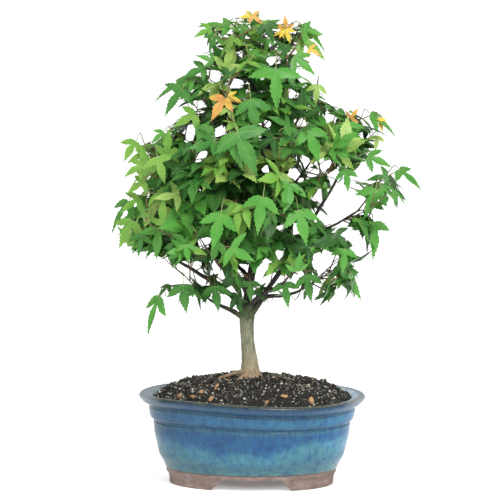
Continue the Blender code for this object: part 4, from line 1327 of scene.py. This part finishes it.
# Furthest leaves, as the solids have them: tip, the way it points, length, width.
SHOOTS = (
    ("right", (151, 0, 269), (0.8, -0.25, -0.55), 27, 0.9),
    ("right", (107, -22, 208), (0.1, -0.25, -0.96), 33, 0.9),
    ("low_left", (-129, -4, 226), (-0.55, -0.2, -0.8), 34, 0.8),
    ("skirt_left", (-95, -22, 136), (-0.35, -0.1, -0.93), 38, 0.42),
    ("skirt_right", (98, -10, 169), (0.6, -0.1, -0.78), 34, 0.8),
    ("mid_right", (129, -4, 318), (0.85, 0.0, -0.5), 32, 0.8),
    ("upper_left", (-92, 0, 347), (-0.9, 0.0, -0.42), 34, 0.75),
    ("top_left", (-53, 0, 413), (-0.97, 0.0, 0.05), 29, 0.9),
    ("top_left", (3, 0, 430), (0.2, 0.0, 0.98), 25, 0.8),
    ("top_right", (64, -4, 393), (0.8, 0.0, -0.6), 32, 0.8),
)

# Leaf tints, from shade to sun and then the young and turning ones: base colour, drift.
TINTS = {
    "deep": ((0.023, 0.082, 0.018), (1.6, 1.5, 1.4)),
    "green": ((0.045, 0.185, 0.031), (1.6, 1.25, 1.3)),
    "bright": ((0.068, 0.270, 0.038), (1.5, 1.15, 1.3)),
    "fresh": ((0.140, 0.340, 0.045), (1.4, 1.1, 1.4)),
    "pale": ((0.270, 0.450, 0.090), (1.3, 1.1, 1.5)),
    "gold": ((0.700, 0.560, 0.070), (1.0, 0.82, 0.8)),
    "amber": ((0.680, 0.310, 0.100), (1.02, 1.5, 0.7)),
}
# Other sprays take these tints, from the darkest: upper end of each one's share of the rolls.
TINT_SHARES = ((0.12, "deep"), (0.46, "green"), (0.83, "bright"), (0.96, "fresh"), (1.0, "pale"))
# Deep in the crown: share of its reach, and how many of the sprays there take the deep tint, painted
# shade.
CROWN_REACH = (120, 100, 165)
HEART_SHARE = 0.6
HEART_SHADED = 0.7
# Leaves a step darker or brighter than their spray, and fresh ones among the turning ones.
DARKER_BELOW = 0.2
BRIGHTER_ABOVE = 0.86
TURNING_BELOW = 0.7
# Sprays with a tint of their own on the side that the photograph shows: x, height, radius,
# tint, share.
TINT_SPOTS_FRONT = 25
TINT_SPOTS = (
    (-26, 384, 9, "pale", 0.5),
    (10, 424, 30, "fresh", 0.5),
    (56, 364, 10, "fresh", 0.8),
    (100, 330, 22, "fresh", 0.5),
    (-104, 296, 26, "fresh", 0.75),
    (-96, 268, 26, "pale", 0.4),
    (-112, 246, 22, "fresh", 0.6),
)


# One leaf, in leaf lengths: its side lobes' spread in degrees and reach, how it droops, folds,
# twists and bends, the corner between its lobes, and its width.
LOBE_SPREAD = (58, 78)
LOBE_REACH = (0.64, 0.82)
LEAF_DROOP = (0.04, 0.24)
LEAF_FOLD = (0.04, 0.22)
LEAF_TWIST = (-0.25, 0.25)
LEAF_BEND = (-0.08, 0.08)
LEAF_CORNER = (0.115, 0.20)
LEAF_CORNER_SHARE = (0.9, 1.12)
LEAF_WIDTH = (0.88, 1.14)
LEAF_CURL = 0.06
# Edges of the middle lobe and, towards and away from that, of a side lobe: along its midrib as
# a share of its reach, across.
MIDDLE_EDGE = (
    (0.32, 0.148),
    (0.44, 0.176),
    (0.56, 0.158),
    (0.68, 0.112),
    (0.79, 0.060),
    (0.90, 0.024),
    (1, 0),
)
INNER_EDGE = ((0.46, 0.118), (0.60, 0.100), (0.76, 0.062), (0.90, 0.022), (1, 0))
OUTER_EDGE = ((0.27, -0.115), (0.48, -0.118), (0.67, -0.082), (0.85, -0.034), (1, 0))
OUTER_FOOT = (0.07, -0.075)
TOOTH_PLACE = 0.66
# How steeply the blade's cross folds run forward from the midrib.
MIDDLE_PULL = 0.35
SIDE_PULL = 0.3
VEIN_STEPS = 5
VEIN_END = 0.9
VEIN_HALF = 0.0062
VEIN_TAPER = 0.75
VEIN_LIFT = 0.0045


def toothed(line, facing):
    """A lobe's edge with a tooth between each two points past the second."""
    points = [np.array(line[0], float)]
    for k in range(1, len(line)):
        a, b = np.array(line[k - 1], float), np.array(line[k], float)
        if k > 1:
            step = b - a
            tooth = TOOTH if 2 < k < len(line) - 1 else TOOTH / 3
            out = unit((-facing * step[1], facing * step[0]))
            points.append(a + step * TOOTH_PLACE + out * tooth)
        points.append(b)
    return points


def leaf_outline(rng):
    """One leaf of three toothed, pointed lobes: points in leaf lengths, and faces.

    Each lobe is a strip on either side of its midrib. The blade folds up a little from the
    ribs and droops towards its tips.
    """
    spread = math.radians(rng.uniform(*LOBE_SPREAD))
    reach = rng.uniform(*LOBE_REACH)
    droop, fold, twist, bend = (rng.uniform(*r) for r in (LEAF_DROOP, LEAF_FOLD, LEAF_TWIST, LEAF_BEND))
    corner = np.array(LEAF_CORNER) * rng.uniform(*LEAF_CORNER_SHARE)
    wide = rng.uniform(*LEAF_WIDTH)
    verts, faces = [], []

    def add_strip(way, out, start, edge_rows, size, pull):
        """The blade between a midrib along way and a lobe's edge, whose teeth face off the rib."""
        line = [(0, 0), start] + [(p * size, q * wide) for p, q in edge_rows]
        line = toothed(line, math.copysign(1, edge_rows[0][1]))
        edge = [way * p + out * q for p, q in line]
        rib = [way * max(0.0, p - pull * abs(q)) for p, q in line]
        rib[-1] = edge[-1]
        base, n = len(verts), len(edge)
        verts.extend(edge + rib)
        for k in range(n - 1):
            a, b, c, d = base + k, base + k + 1, base + n + k + 1, base + n + k
            if k == 0:
                faces.append((a, b, c))
            elif k == n - 2:
                faces.append((a, b, d))
            else:
                faces.append((a, b, c, d))

    ribs = [np.array((0.0, 1.0))]
    for sign in (1.0, -1.0):
        add_strip(ribs[0], np.array((sign, 0.0)), corner[::-1], MIDDLE_EDGE, 1.0, MIDDLE_PULL)
    for sign in (1.0, -1.0):
        way = np.array((math.sin(spread) * sign, math.cos(spread)))
        out = np.array((-way[1], way[0])) * sign
        foot = corner * (sign, 1.0)
        add_strip(way, out, (np.dot(foot, way), np.dot(foot, out)), INNER_EDGE, reach, SIDE_PULL)
        add_strip(way, out, (OUTER_FOOT[0], OUTER_FOOT[1] * wide), OUTER_EDGE, reach, SIDE_PULL)
        ribs.append(way * reach)
    flat = np.array(verts, float)
    from_rib = np.full(len(flat), np.inf)
    for rib in ribs:
        t = np.clip((flat @ rib) / np.dot(rib, rib), 0, 1)
        from_rib = np.minimum(from_rib, np.linalg.norm(flat - t[:, None] * rib, axis=1))

    def lifted(points, above_rib):
        r2 = (points**2).sum(axis=1)
        z = -droop * r2 - LEAF_CURL * r2**1.5 + fold * above_rib + twist * points[:, 0] * points[:, 1]
        x = points[:, 0] + bend * points[:, 1] ** 2
        return np.stack([x, points[:, 1], z], axis=1)

    blade = lifted(flat, from_rib)
    vein_verts, vein_faces = [], []
    for rib in ribs:
        cross = np.array((-rib[1], rib[0])) / np.linalg.norm(rib)
        for lift in (VEIN_LIFT, -VEIN_LIFT):
            base = len(vein_verts)
            for t in np.linspace(0, VEIN_END, VEIN_STEPS):
                half = VEIN_HALF * (1 - VEIN_TAPER * t)
                centre = lifted((rib * t)[None], np.zeros(1))[0]
                for s in (-1, 1):
                    vein_verts.append(centre + (cross[0] * half * s, cross[1] * half * s, lift))
            for k in range(base, base + 2 * VEIN_STEPS - 2, 2):
                vein_faces.append((k, k + 1, k + 3, k + 2))
    return blade, faces, np.array(vein_verts), vein_faces


LEAF_SHAPES = 16
LEAF_SHAPES_SEED = 7
# Within these distances of a leaf's middle, other leaves and limbs are looked at.
NEAR_LEAF = 46
NEAR_LIMB = 30
STALK_RADII = (STALK_RADIUS * 1.25, STALK_RADIUS, STALK_RADIUS * 0.9, 0.15)
STALK_BOW = 0.08
STALK_SUNK = 0.03
# How far a leaf strays from the way it would point: at its first try, and further by its last.
STRAY = 0.22
STRAY_MORE = 0.45
# A stalk leans outwards. The blade lies on along it, outwards and down, and faces outwards, up
# and, at the front, to the front; after each, how much of the stray it takes.
LEAN_OUT, LEAN_STRAY = 0.3, 0.7
LIE_ON, LIE_OUT, LIE_DOWN, LIE_STRAY = 0.45, 0.42, 0.66, 1.1
FACE_OUT, FACE_UP, FACE_STRAY = 0.75, 0.6, 0.7
FACE_LEAST = 0.2
TWIG_TRIES = 8
TWIG_CUT = 0.8
SHORTEST_STEM = 8
STEM_JOINTS = (0.3, 0.6, 1.0)
KEPT_TWIG_STEPS = (0, 0.25, 0.5, 0.75, 1)
# Leaves get smaller over this height, towards the top.
TOP_FROM = 300
TOP_SPAN = 100
# Finer twigs that fill the crown: heights left out below and above, how far out they end, how
# far inside the outline, how far below their end they start, their length and their sag.
FILL_MARGINS = (8, 4)
FILL_OUT = (0.45, 0.93)
FILL_SPARE = 3.0
FILL_RISE = 6.0
FILL_SHORTEST = 5
FILL_SAG = 0.12
FILL_PAIR_PLACE = 0.4
FILL_THICKENING = 60
# A kept leaf's pitch, facing, turn by its place, stalk, droop and the part that stays in view.
KEPT_PITCH = 0.18
KEPT_FACE = np.array((0.0, -0.86, 0.5))
KEPT_TURN = 400
KEPT_STALK = np.array((0.3, 0.25, 0.1))
KEPT_DROOP = 1.06
KEPT_MIDDLE = 0.4
KEPT_TWIG_FROM = (0, 14.0, -6.0)
KEPT_TWIG_RADIUS = 0.6


def squared(face, lie):
    """The part of a leaf's facing that is square to the way it lies."""
    return unit(face - lie * np.dot(face, lie))


def turned_to(lie, face):
    return np.array((np.cross(lie, face), lie, face))


def out_from(way, turn):
    """A direction square to a twig's own, at a turn round it."""
    side = unit(np.cross(way, (0.2, 0.4, 1.0)))
    lift = np.cross(side, way)
    return math.cos(turn) * side + math.sin(turn) * lift


class Crown:
    """Grows twigs, stalks and leaves, and keeps each new leaf clear of the ones before."""

    def __init__(self, lines):
        self.rng = np.random.default_rng(LEAF_SHAPES_SEED)
        self.twigs = Heap()
        self.fine = Heap()
        self.stalks = Heap()
        self.veins = Heap()
        self.leaves = {tint: Heap() for tint in TINTS}
        self.shapes = [leaf_outline(self.rng) for _ in range(LEAF_SHAPES)]
        self.samples = np.zeros((0, len(BLADE_SAMPLES), 3))
        self.middles = np.zeros((0, 3))
        self.limb_spots = np.vstack([path for path, _ in lines])
        self.limb_widths = np.concatenate([radii for _, radii in lines])
        self.outline = np.array(CROWN_OUTLINE, float)
        self.depth = np.array(CROWN_DEPTH, float)
        self.sky = np.array(SKY, float)
        self.sky[:, 2:4] *= SKY_SHARE
        self.sky = np.vstack([self.sky, self.small_sky()])
        turn = np.radians(self.sky[:, 4])
        self.sky_cos, self.sky_sin = np.cos(turn), np.sin(turn)
        self.kept = np.array(OPEN_FORK)
        self.roots = []
        self.joints = []

    def reaches(self, z):
        """How far the crown reaches to the left, right, front and back at a height."""
        tables = (self.outline, self.depth)
        return [np.interp(z, rows[:, 0], rows[:, k]) for rows in tables for k in (1, 2)]

    def small_sky(self):
        """Small gaps at seeded places in the crown's view, in the rows of SKY."""
        rng = np.random.default_rng(SMALL_SKY_SEED)
        rows = []
        for count, (low, high), right_side in SMALL_SKY:
            for _ in range(count):
                z = rng.uniform(low, high)
                left, right, *_ = self.reaches(z)
                x = rng.uniform(RIGHT_SIDE_FROM if right_side else -left, right) * SMALL_SKY_WITHIN
                halves = [rng.uniform(*span) for span in SMALL_SKY_HALF]
                rows.append((x, z, *halves, rng.uniform(-90, 90)))
        return np.array(rows)

    def holds(self, points, spare=0.0):
        """Inside the crown's reach: an oval of four quarters at each height."""
        z = points[:, 2]
        if z.min() < self.outline[0][0] or z.max() > self.outline[-1][0]:
            return False
        left, right, front, back = self.reaches(z)
        a = np.where(points[:, 0] < 0, left, right) - spare
        b = np.where(points[:, 1] < 0, front, back) - spare
        across = np.abs(points[:, 0] / a) ** CROWN_SQUARENESS
        return (across + np.abs(points[:, 1] / b) ** CROWN_SQUARENESS).max() <= 1

    def covers_kept(self, points):
        """Whether any point would hide one of the leaves that keep their place in the view."""
        x, z = seen_at(points)
        gaps = np.hypot(x[:, None] - self.kept[:, 0], z[:, None] - self.kept[:, 1])
        return bool(((gaps < self.kept[:, 2]) & (points[:, 1:2] < self.kept[:, 3])).any())

    def open_sky(self, points):
        """Whether any point would cover a patch of sky, seen from the camera."""
        x, z = seen_at(points)
        dx = x[:, None] - self.sky[:, 0]
        dz = z[:, None] - self.sky[:, 1]
        u = (dx * self.sky_cos + dz * self.sky_sin) / self.sky[:, 2]
        v = (dz * self.sky_cos - dx * self.sky_sin) / self.sky[:, 3]
        return bool(((u * u + v * v) < 1).any())

    def clear(self, points):
        """Whether a leaf's samples keep clear of the leaves before and of the limbs."""
        middle = points.mean(axis=0)
        near = np.abs(self.middles - middle).max(axis=1) < NEAR_LEAF
        if near.any():
            others = self.samples[near].reshape(-1, 3)
            gaps = ((points[:, None] - others[None]) ** 2).sum(axis=2)
            if gaps.min() < LEAF_APART**2:
                return False
        near = np.abs(self.limb_spots - middle).max(axis=1) < NEAR_LIMB
        if near.any():
            gaps = np.linalg.norm(points[:, None] - self.limb_spots[near][None], axis=2)
            if (gaps - self.limb_widths[near]).min() < LIMB_APART:
                return False
        return True

    def put_leaf(self, root, foot, lie, face, length, tint, variant=None, width=1.0):
        """A leaf with its veins and stalk; a width below 1 narrows the blade, as a blade half folded along
        its midrib looks.
        """
        if variant is None:
            variant = self.rng.integers(len(self.shapes))
        blade, faces, vein, vein_faces = self.shapes[variant]
        blade, vein = blade * (width, 1, 1), vein * (width, 1, 1)
        lie = unit(lie)
        turn = turned_to(lie, squared(face, lie))
        self.leaves[tint].add(foot + blade * length @ turn, faces)
        self.veins.add(foot + vein * length @ turn, vein_faces)
        bow = (root + foot) / 2 + UP * STALK_BOW * np.linalg.norm(foot - root)
        stalk = (root, bow, foot, foot + lie * STALK_SUNK * length)
        self.stalks.add(*tube(stalk, STALK_RADII, 4))
        samples = foot + blade[BLADE_SAMPLES % len(blade)] * length @ turn
        self.samples = np.concatenate([self.samples, samples[None]])
        self.middles = np.concatenate([self.middles, samples.mean(axis=0)[None]])

    def try_leaf(self, root, leaving, tint, size):
        """Tries turns of the leaf about its stalk until one fits, and skips it if none does."""
        outward = unit(root - CROWN_HEART)
        to_front = FRONT_FACING * np.clip((FRONT_FROM - root[1]) / FRONT_FROM, 0, 1)
        for attempt in range(LEAF_TRIES):
            spent = attempt / LEAF_TRIES
            length = size * (1 - LEAF_SHRINK * spent)
            stray = self.rng.normal(0, STRAY + STRAY_MORE * spent, (3, 3))
            lean = unit(leaving + outward * LEAN_OUT + stray[0] * LEAN_STRAY)
            foot = root + lean * length * self.rng.uniform(*STALK_LENGTH)
            lie = unit(lean * LIE_ON + outward * LIE_OUT - UP * LIE_DOWN + stray[1] * LIE_STRAY)
            face = outward * FACE_OUT + (0, -to_front, FACE_UP) + stray[2] * FACE_STRAY
            face = face - lie * np.dot(face, lie)
            if np.linalg.norm(face) < FACE_LEAST or np.dot(lean, lie) < 0.0:
                continue
            face = unit(face)
            variant = int(self.rng.integers(len(self.shapes)))
            blade = self.shapes[variant][0]
            ends = foot + blade * length @ turned_to(lie, face)
            points = ends[BLADE_SAMPLES % len(blade)]
            short = max(0.0, RAGGED * rough(points.mean(axis=0), RAGGED_SIZE, 12.0))
            if not self.holds(ends, short) or self.open_sky(ends) or self.covers_kept(ends):
                continue
            if self.clear(points):
                self.put_leaf(root, foot, lie, face, length, tint, variant)
                return True
        return False

    def fit_twig(self, start, way, length):
        """A twig cut back until it keeps within the crown and off the sky, or None."""
        way = unit(way)
        for _ in range(TWIG_TRIES):
            end = start + way * length
            seen = np.array(((start + end) / 2, end))
            if self.holds(seen, OUTWARD_FREE) and not self.open_sky(seen):
                joint = start + way * length * 0.5
                tip = joint + unit(way + UP * TWIG_RISE) * length * 0.5
                return np.array((start, joint, tip))
            length *= TWIG_CUT
        return None

    def spray_tint(self, tip):
        if tip[1] < TINT_SPOTS_FRONT:
            for x, z, radius, tint, share in TINT_SPOTS:
                if math.hypot(tip[0] - x, tip[2] - z) < radius and self.rng.uniform() < share:
                    return tint
        depth = np.linalg.norm((tip - CROWN_HEART) / CROWN_REACH)
        roll = self.rng.uniform()
        # The crown's heart is painted in shade: most of its sprays take the deep tint.
        if depth < HEART_SHARE:
            return "deep" if roll < HEART_SHADED else "green"
        return next(tint for end, tint in TINT_SHARES if roll < end)

    def leaf_tint(self, tint):
        """Now and then a leaf is a step brighter or darker than its spray."""
        steps = [name for _, name in TINT_SHARES]
        roll = self.rng.uniform()
        if tint not in steps:
            return tint if roll < TURNING_BELOW else "fresh"
        k = steps.index(tint)
        if roll < DARKER_BELOW:
            return steps[max(0, k - 1)]
        if roll > BRIGHTER_ABOVE:
            return steps[min(len(steps) - 2, k + 1)]
        return tint

    def grow(self, number, name, foot, way):
        """One mass: its stem, the twigs round it, and finer twigs on either side of those."""
        self.rng = rng = np.random.default_rng(SOWN_ANEW.get(name, FIRST_SEED + number))
        stem = self.fit_twig(foot, way, BOUGH_SHORT_OF_SITE + STEM_PAST_SITE)
        if stem is None:
            stem = np.array((foot, foot + way * SHORTEST_STEM / 2, foot + way * SHORTEST_STEM))
        self.twigs.add(*tube(stem, (STEM_RADIUS, STEM_RADIUS * 0.8, TIP_RADIUS), 8))
        self.joints += [along(stem, share) for share in STEM_JOINTS]
        sprays = [[stem]]
        for k in range(TWIGS_A_MASS):
            share = TWIGS_FROM + TWIGS_SPAN * k / (TWIGS_A_MASS - 1)
            turn = k * GOLDEN_ANGLE + rng.uniform(-TWIG_TURN_STRAY, TWIG_TURN_STRAY)
            spread = math.radians(TWIG_SPREAD - TWIG_SPREAD_LOSS * share)
            out = out_from(way, turn)
            full = TWIG_LENGTH * rng.uniform(1 - TWIG_LENGTH_STRAY, 1 + TWIG_LENGTH_STRAY)
            twig = self.fit_twig(along(stem, share), way * math.cos(spread) + out * math.sin(spread), full)
            if twig is None:
                continue
            spray = [twig]
            ahead = unit(twig[-1] - twig[0])
            first = unit(np.cross(ahead, out + (0.1, 0.2, 0.3)))
            second = np.cross(first, ahead)
            for j, place in enumerate(FINE_PLACES):
                turn = j * math.pi / 2 + rng.uniform(-0.3, 0.3)
                across = math.cos(turn) * first + math.sin(turn) * second
                for sign in (-1, 1):
                    heading = ahead + across * sign * FINE_SPREAD
                    fine = self.fit_twig(along(twig, place), heading, rng.uniform(*FINE_LENGTH))
                    if fine is not None:
                        spray.append(fine)
            sprays.append(spray)
        self.leaf_sprays(sprays)

    def leaf_sprays(self, sprays):
        """Leaves first, from the tips inwards, then each twig as far as its last leaf or fork."""
        tints = [self.spray_tint(spray[0][-1]) for spray in sprays]
        bare = [[0.0] * len(spray) for spray in sprays]
        placed_here = 0
        for share in PAIR_PLACES:
            for spray, tint, reached in zip(sprays, tints, bare):
                for k, path in enumerate(spray):
                    if placed_here < LEAVES_A_MASS:
                        grown = self.add_pair(path, share, tint)
                        placed_here += grown
                        if grown:
                            reached[k] = max(reached[k], share)
        for spray, reached in zip(sprays[1:], bare[1:]):
            for k, path in enumerate(spray[1:], 1):
                if reached[k]:
                    self.keep_twig(self.fine, path, reached[k], FINE_RADIUS, 5)
                    foot, tip = spray[0][0], spray[0][-1]
                    fork = np.linalg.norm(path[0] - foot) / np.linalg.norm(tip - foot)
                    reached[0] = max(reached[0], min(fork, 1.0))
            if reached[0]:
                self.keep_twig(self.twigs, spray[0], reached[0], TWIG_RADIUS, 6)

    def keep_twig(self, heap, path, share, radius, sides):
        kept = [along(path, share * t) for t in KEPT_TWIG_STEPS]
        heap.add(*tube(kept, np.linspace(radius, TIP_RADIUS, len(kept)), sides))
        self.joints += kept[1:]

    def add_pair(self, path, share, tint):
        """A pair of leaves on either side of the twig, and one more at its tip."""
        ahead = unit(path[-1] - path[0])
        out = out_from(ahead, self.rng.uniform(0, math.pi))
        root = along(path, share)
        low, large = LEAF_LENGTH
        high = np.clip((root[2] - TOP_FROM) / TOP_SPAN, 0, 1)
        size = (low + (large - low) * self.rng.uniform() ** 0.8) * (1 - (1 - TOP_LEAF_SHARE) * high)
        grown = 0
        for sign in (-1, 1):
            grown += self.try_leaf(root, unit(out * sign + ahead * 0.5), self.leaf_tint(tint), size)
        if share == 1.0:
            grown += self.try_leaf(root, ahead, self.leaf_tint(tint), size)
        return grown

    def fill(self):
        """Finer twigs, from the joints nearest by, to the parts of the crown that stayed thin."""
        self.rng = rng = np.random.default_rng(FILL_SEED)
        low, high = self.outline[0][0] + FILL_MARGINS[0], self.outline[-1][0] - FILL_MARGINS[1]
        for _ in range(FILL_TRIES):
            z = rng.uniform(low, high)
            left, right, front, back = self.reaches(z)
            turn = rng.uniform(0, 2 * math.pi)
            out = rng.uniform(*FILL_OUT)
            x, y = math.cos(turn) * out, math.sin(turn) * out
            spot = np.array((x * (right if x > 0 else left), y * (back if y > 0 else front), z))
            if np.linalg.norm(self.middles - spot, axis=1).min() < FILL_APART:
                continue
            if self.open_sky(spot[None]) or not self.holds(spot[None], FILL_SPARE):
                continue
            joints = np.array(self.joints)
            gaps = np.linalg.norm(joints - spot + UP * FILL_RISE, axis=1)
            start = joints[gaps.argmin()]
            length = np.linalg.norm(spot - start)
            if not FILL_SHORTEST < length < FILL_LONGEST:
                continue
            bend = (start + spot) / 2 - UP * FILL_SAG * length
            path = course((start, bend, spot), 4)
            if self.open_sky(path):
                continue
            tint = self.spray_tint(spot)
            if self.add_pair(path[2:], 1.0, tint):
                self.add_pair(path[1:], FILL_PAIR_PLACE, tint)
                self.keep_twig(self.fine, path, 1.0, FINE_RADIUS * (1 + length / FILL_THICKENING), 5)

    def keep_leaf(self, foot, tip, depth, tint):
        """A leaf that the photograph shows whole, on a twig of its own that comes from behind."""
        foot, tip = (unseen(x, z, depth) for x, z in (foot, tip))
        length = np.linalg.norm(tip - foot)
        lie = unit(tip - foot + (0, -KEPT_PITCH * length, 0))
        face = KEPT_FACE + (foot[0] / KEPT_TURN, 0, 0)
        short, back, up = KEPT_STALK * length
        root = foot - lie * short + (0, back, up)
        self.put_leaf(root, foot, lie, face, length / KEPT_DROOP, tint, width=KEPT_WIDTH)
        x, z = seen_at((foot + (tip - foot) * KEPT_MIDDLE)[None])
        self.kept = np.vstack([self.kept, (x[0], z[0], length * KEPT_SHARE, depth)])
        self.roots.append(root)


def along(path, share):
    run = np.linspace(0, 1, len(path))
    return np.array([np.interp(share, run, path[:, k]) for k in range(3)])


def seen_at(points):
    """Where the camera sees points: x and height on the plane through the pot's centre line."""
    shrink = CAMERA_BACK / (CAMERA_BACK + points[:, 1] * MM)
    eye = CAMERA_HEIGHT / MM
    return points[:, 0] * shrink, eye + (points[:, 2] - eye) * shrink


def unseen(x, z, depth):
    """The point at a depth that the camera sees at x and height z on that plane."""
    grow = (CAMERA_BACK + depth * MM) / CAMERA_BACK
    eye = CAMERA_HEIGHT / MM
    return np.array((x * grow, depth, eye + (z - eye) * grow))


# A shoot's leaf faces outwards, to the front and up. Its foot lies above its tip's line by a
# share of its length, and its twig leaves the bough straight on before it bends and rises.
SHOOT_FACE = (0.0, -0.5, 0.6)
SHOOT_FACE_OUT = 0.6
SHOOT_LIFT = 0.16
SHOOT_STALK = 0.2
SHOOT_STALK_RISE = 1.5
SHOOT_STRAIGHT = 18
SHOOT_BOW = 2.0
SHOOT_STEPS = 9
SHOOT_RADIUS = 0.9


def add_shoots(crown, ends):
    """The furthest leaves, on longer twigs of their own, where the solids have them."""
    radii = np.linspace(SHOOT_RADIUS, TIP_RADIUS, SHOOT_STEPS)
    for mass, tip, lie, length, width in SHOOTS:
        tip, lie = np.array(tip, float), unit(lie)
        face = squared(unit(tip - CROWN_HEART) * SHOOT_FACE_OUT + SHOOT_FACE, lie)
        foot = tip - lie * length + face * SHOOT_LIFT * length
        root = foot - lie * length * SHOOT_STALK + UP * SHOOT_STALK_RISE
        end, way = ends[mass]
        start = end + way * SHOOT_STRAIGHT
        middle = (start + root) / 2 + UP * SHOOT_BOW
        path = course((end, start, middle, root), SHOOT_STEPS)
        crown.twigs.add(*tube(path, radii, 6))
        crown.put_leaf(root, foot, lie, face, length, "bright", width=width)


def make_crown(lines, ends, twig_bark, fine_bark, stalk, vein):
    crown = Crown(lines)
    add_shoots(crown, ends)
    for foot_x, foot_z, tip_x, tip_z, depth, tint in KEPT_LEAVES:
        crown.keep_leaf((foot_x, foot_z), (tip_x, tip_z), depth, tint)
    for number, (name, *_) in enumerate(MASSES):
        crown.grow(number, name, *ends[name])
    crown.fill()
    joints = np.array(crown.joints)
    radii = np.linspace(KEPT_TWIG_RADIUS, TIP_RADIUS, 5)
    for root in crown.roots:
        gaps = np.linalg.norm(joints - root - KEPT_TWIG_FROM, axis=1)
        start = joints[gaps.argmin()]
        path = course((start, (start + root) / 2 - UP * 2, root), 5)
        crown.fine.add(*tube(path, radii, 5))
    crown.twigs.piece("twigs", twig_bark, "twig_bark")
    crown.fine.piece("fine_twigs", fine_bark, "twig_bark")
    crown.stalks.piece("leaf_stalks", stalk, "leaf_fresh_green")
    crown.veins.piece("leaf_veins", vein, "leaf_fresh_green")
    nodes = ["leaves_" + row[0] for row in MASSES]
    for tint, heap in crown.leaves.items():
        slot = "leaf_green" if tint in ("deep", "green", "bright") else "leaf_fresh_green"
        colour, drift = TINTS[tint]
        heap.piece("leaves_of_" + tint, leaf_look("leaf_" + tint, colour, drift), slot, nodes)
        nodes = ()


# The stage, in metres. The floor glows from one strength under the pot, a painted shadow, to another
# further out.
FLOOR_GLOW = (0.16, 0.72)
FLOOR_GLOW_FROM = 0.25
FLOOR_GLOW_FULL = 0.95
DIM_FLOOR_HALF = (0.110, 0.066)
FLOOR_HALF = 60.0
SKY_STRENGTH = 0.55
FAR_END = 200.0
# Lights: name, place, size, power. They are aimed at the plant's middle.
LIGHTS = (("key", (0.75, -1.5, 1.55), 0.9, 36.0), ("fill", (-1.3, -1.1, 0.9), 1.2, 4.5))
LIGHT_AIM = Vector((0, 0, 0.22))


def make_stage():
    scene = bpy.context.scene
    scene.view_settings.view_transform = "Standard"
    world = bpy.data.worlds.new("world")
    scene.world = world
    world.use_nodes = True
    sky = world.node_tree.nodes["Background"]
    sky.inputs["Color"].default_value = (1.0, 1.0, 1.0, 1.0)
    sky.inputs["Strength"].default_value = SKY_STRENGTH
    make_floor()
    for light in LIGHTS:
        add_light(*light)
    add_camera()


def make_floor():
    """A pale floor that glows less under the pot, so that the shadow between its feet shows; the dimmer
    glow there is painted shadow.
    """
    mesh = bpy.data.meshes.new("floor")
    corners = [(x * FLOOR_HALF, y * FLOOR_HALF, 0) for x, y in ((-1, -1), (1, -1), (1, 1), (-1, 1))]
    mesh.from_pydata(corners, [], [(0, 1, 2, 3)])
    floor = new_thing("floor", mesh)
    pale = Look("floor", (0.82, 0.82, 0.82), 0.9, Emission_Strength=1.0)
    from_pot = pale.add("Mapping")
    from_pot.inputs["Scale"].default_value = (1 / DIM_FLOOR_HALF[0], 1 / DIM_FLOOR_HALF[1], 1.0)
    from_pot.inputs["Location"].default_value = (-POT_X / DIM_FLOOR_HALF[0], 0.0, 0.0)
    reach = pale.add("VectorMath", operation="LENGTH")
    pale.link(pale.where, from_pot.inputs["Vector"])
    pale.link(from_pot.outputs["Vector"], reach.inputs[0])
    stops = zip((FLOOR_GLOW_FROM, FLOOR_GLOW_FULL), FLOOR_GLOW)
    glow = pale.ramp(reach.outputs["Value"], list(stops))
    pale.link(glow, pale.shader.inputs["Emission Color"])
    mesh.materials.append(pale.material)


def add_camera():
    camera = new_thing("camera", bpy.data.cameras.new("camera"))
    camera.data.lens = CAMERA_LENS
    camera.data.sensor_width = SENSOR
    camera.data.clip_end = FAR_END
    camera.location = (POT_X + CAMERA_SIDE, -CAMERA_BACK, CAMERA_HEIGHT)
    aim = Vector((POT_X + CAMERA_SIDE, 0.0, AIM_HEIGHT)) - camera.location
    camera.rotation_mode = "QUATERNION"
    roll = Quaternion((0, 0, 1), math.radians(CAMERA_ROLL))
    camera.rotation_quaternion = aim.to_track_quat("-Z", "Y") @ roll
    bpy.context.scene.camera = camera


def add_light(name, place, size, power):
    light = bpy.data.lights.new(name, "AREA")
    light.shape = "DISK"
    light.size = size
    light.energy = power
    thing = new_thing(name, light)
    thing.location = place
    aim = LIGHT_AIM - thing.location
    thing.rotation_euler = aim.to_track_quat("-Z", "Y").to_euler()


def main():
    make_stage()
    make_pot(glaze_look(), clay_look())
    make_soil()
    dark_bark = twig_look("limb_bark", (0.012, 0.010, 0.009), (0.060, 0.048, 0.038))
    lines, ends = make_limbs(bark_look(), dark_bark)
    make_crown(
        lines,
        ends,
        twig_look("twig_bark", (0.060, 0.036, 0.024), (0.15, 0.10, 0.06)),
        twig_look("fine_twig_bark", (0.11, 0.055, 0.030), (0.22, 0.13, 0.06)),
        twig_look("leaf_stalk", (0.26, 0.32, 0.10), (0.40, 0.42, 0.18), 0.5),
        twig_look("leaf_vein", (0.11, 0.27, 0.055), (0.22, 0.37, 0.11), 0.5),
    )


main()
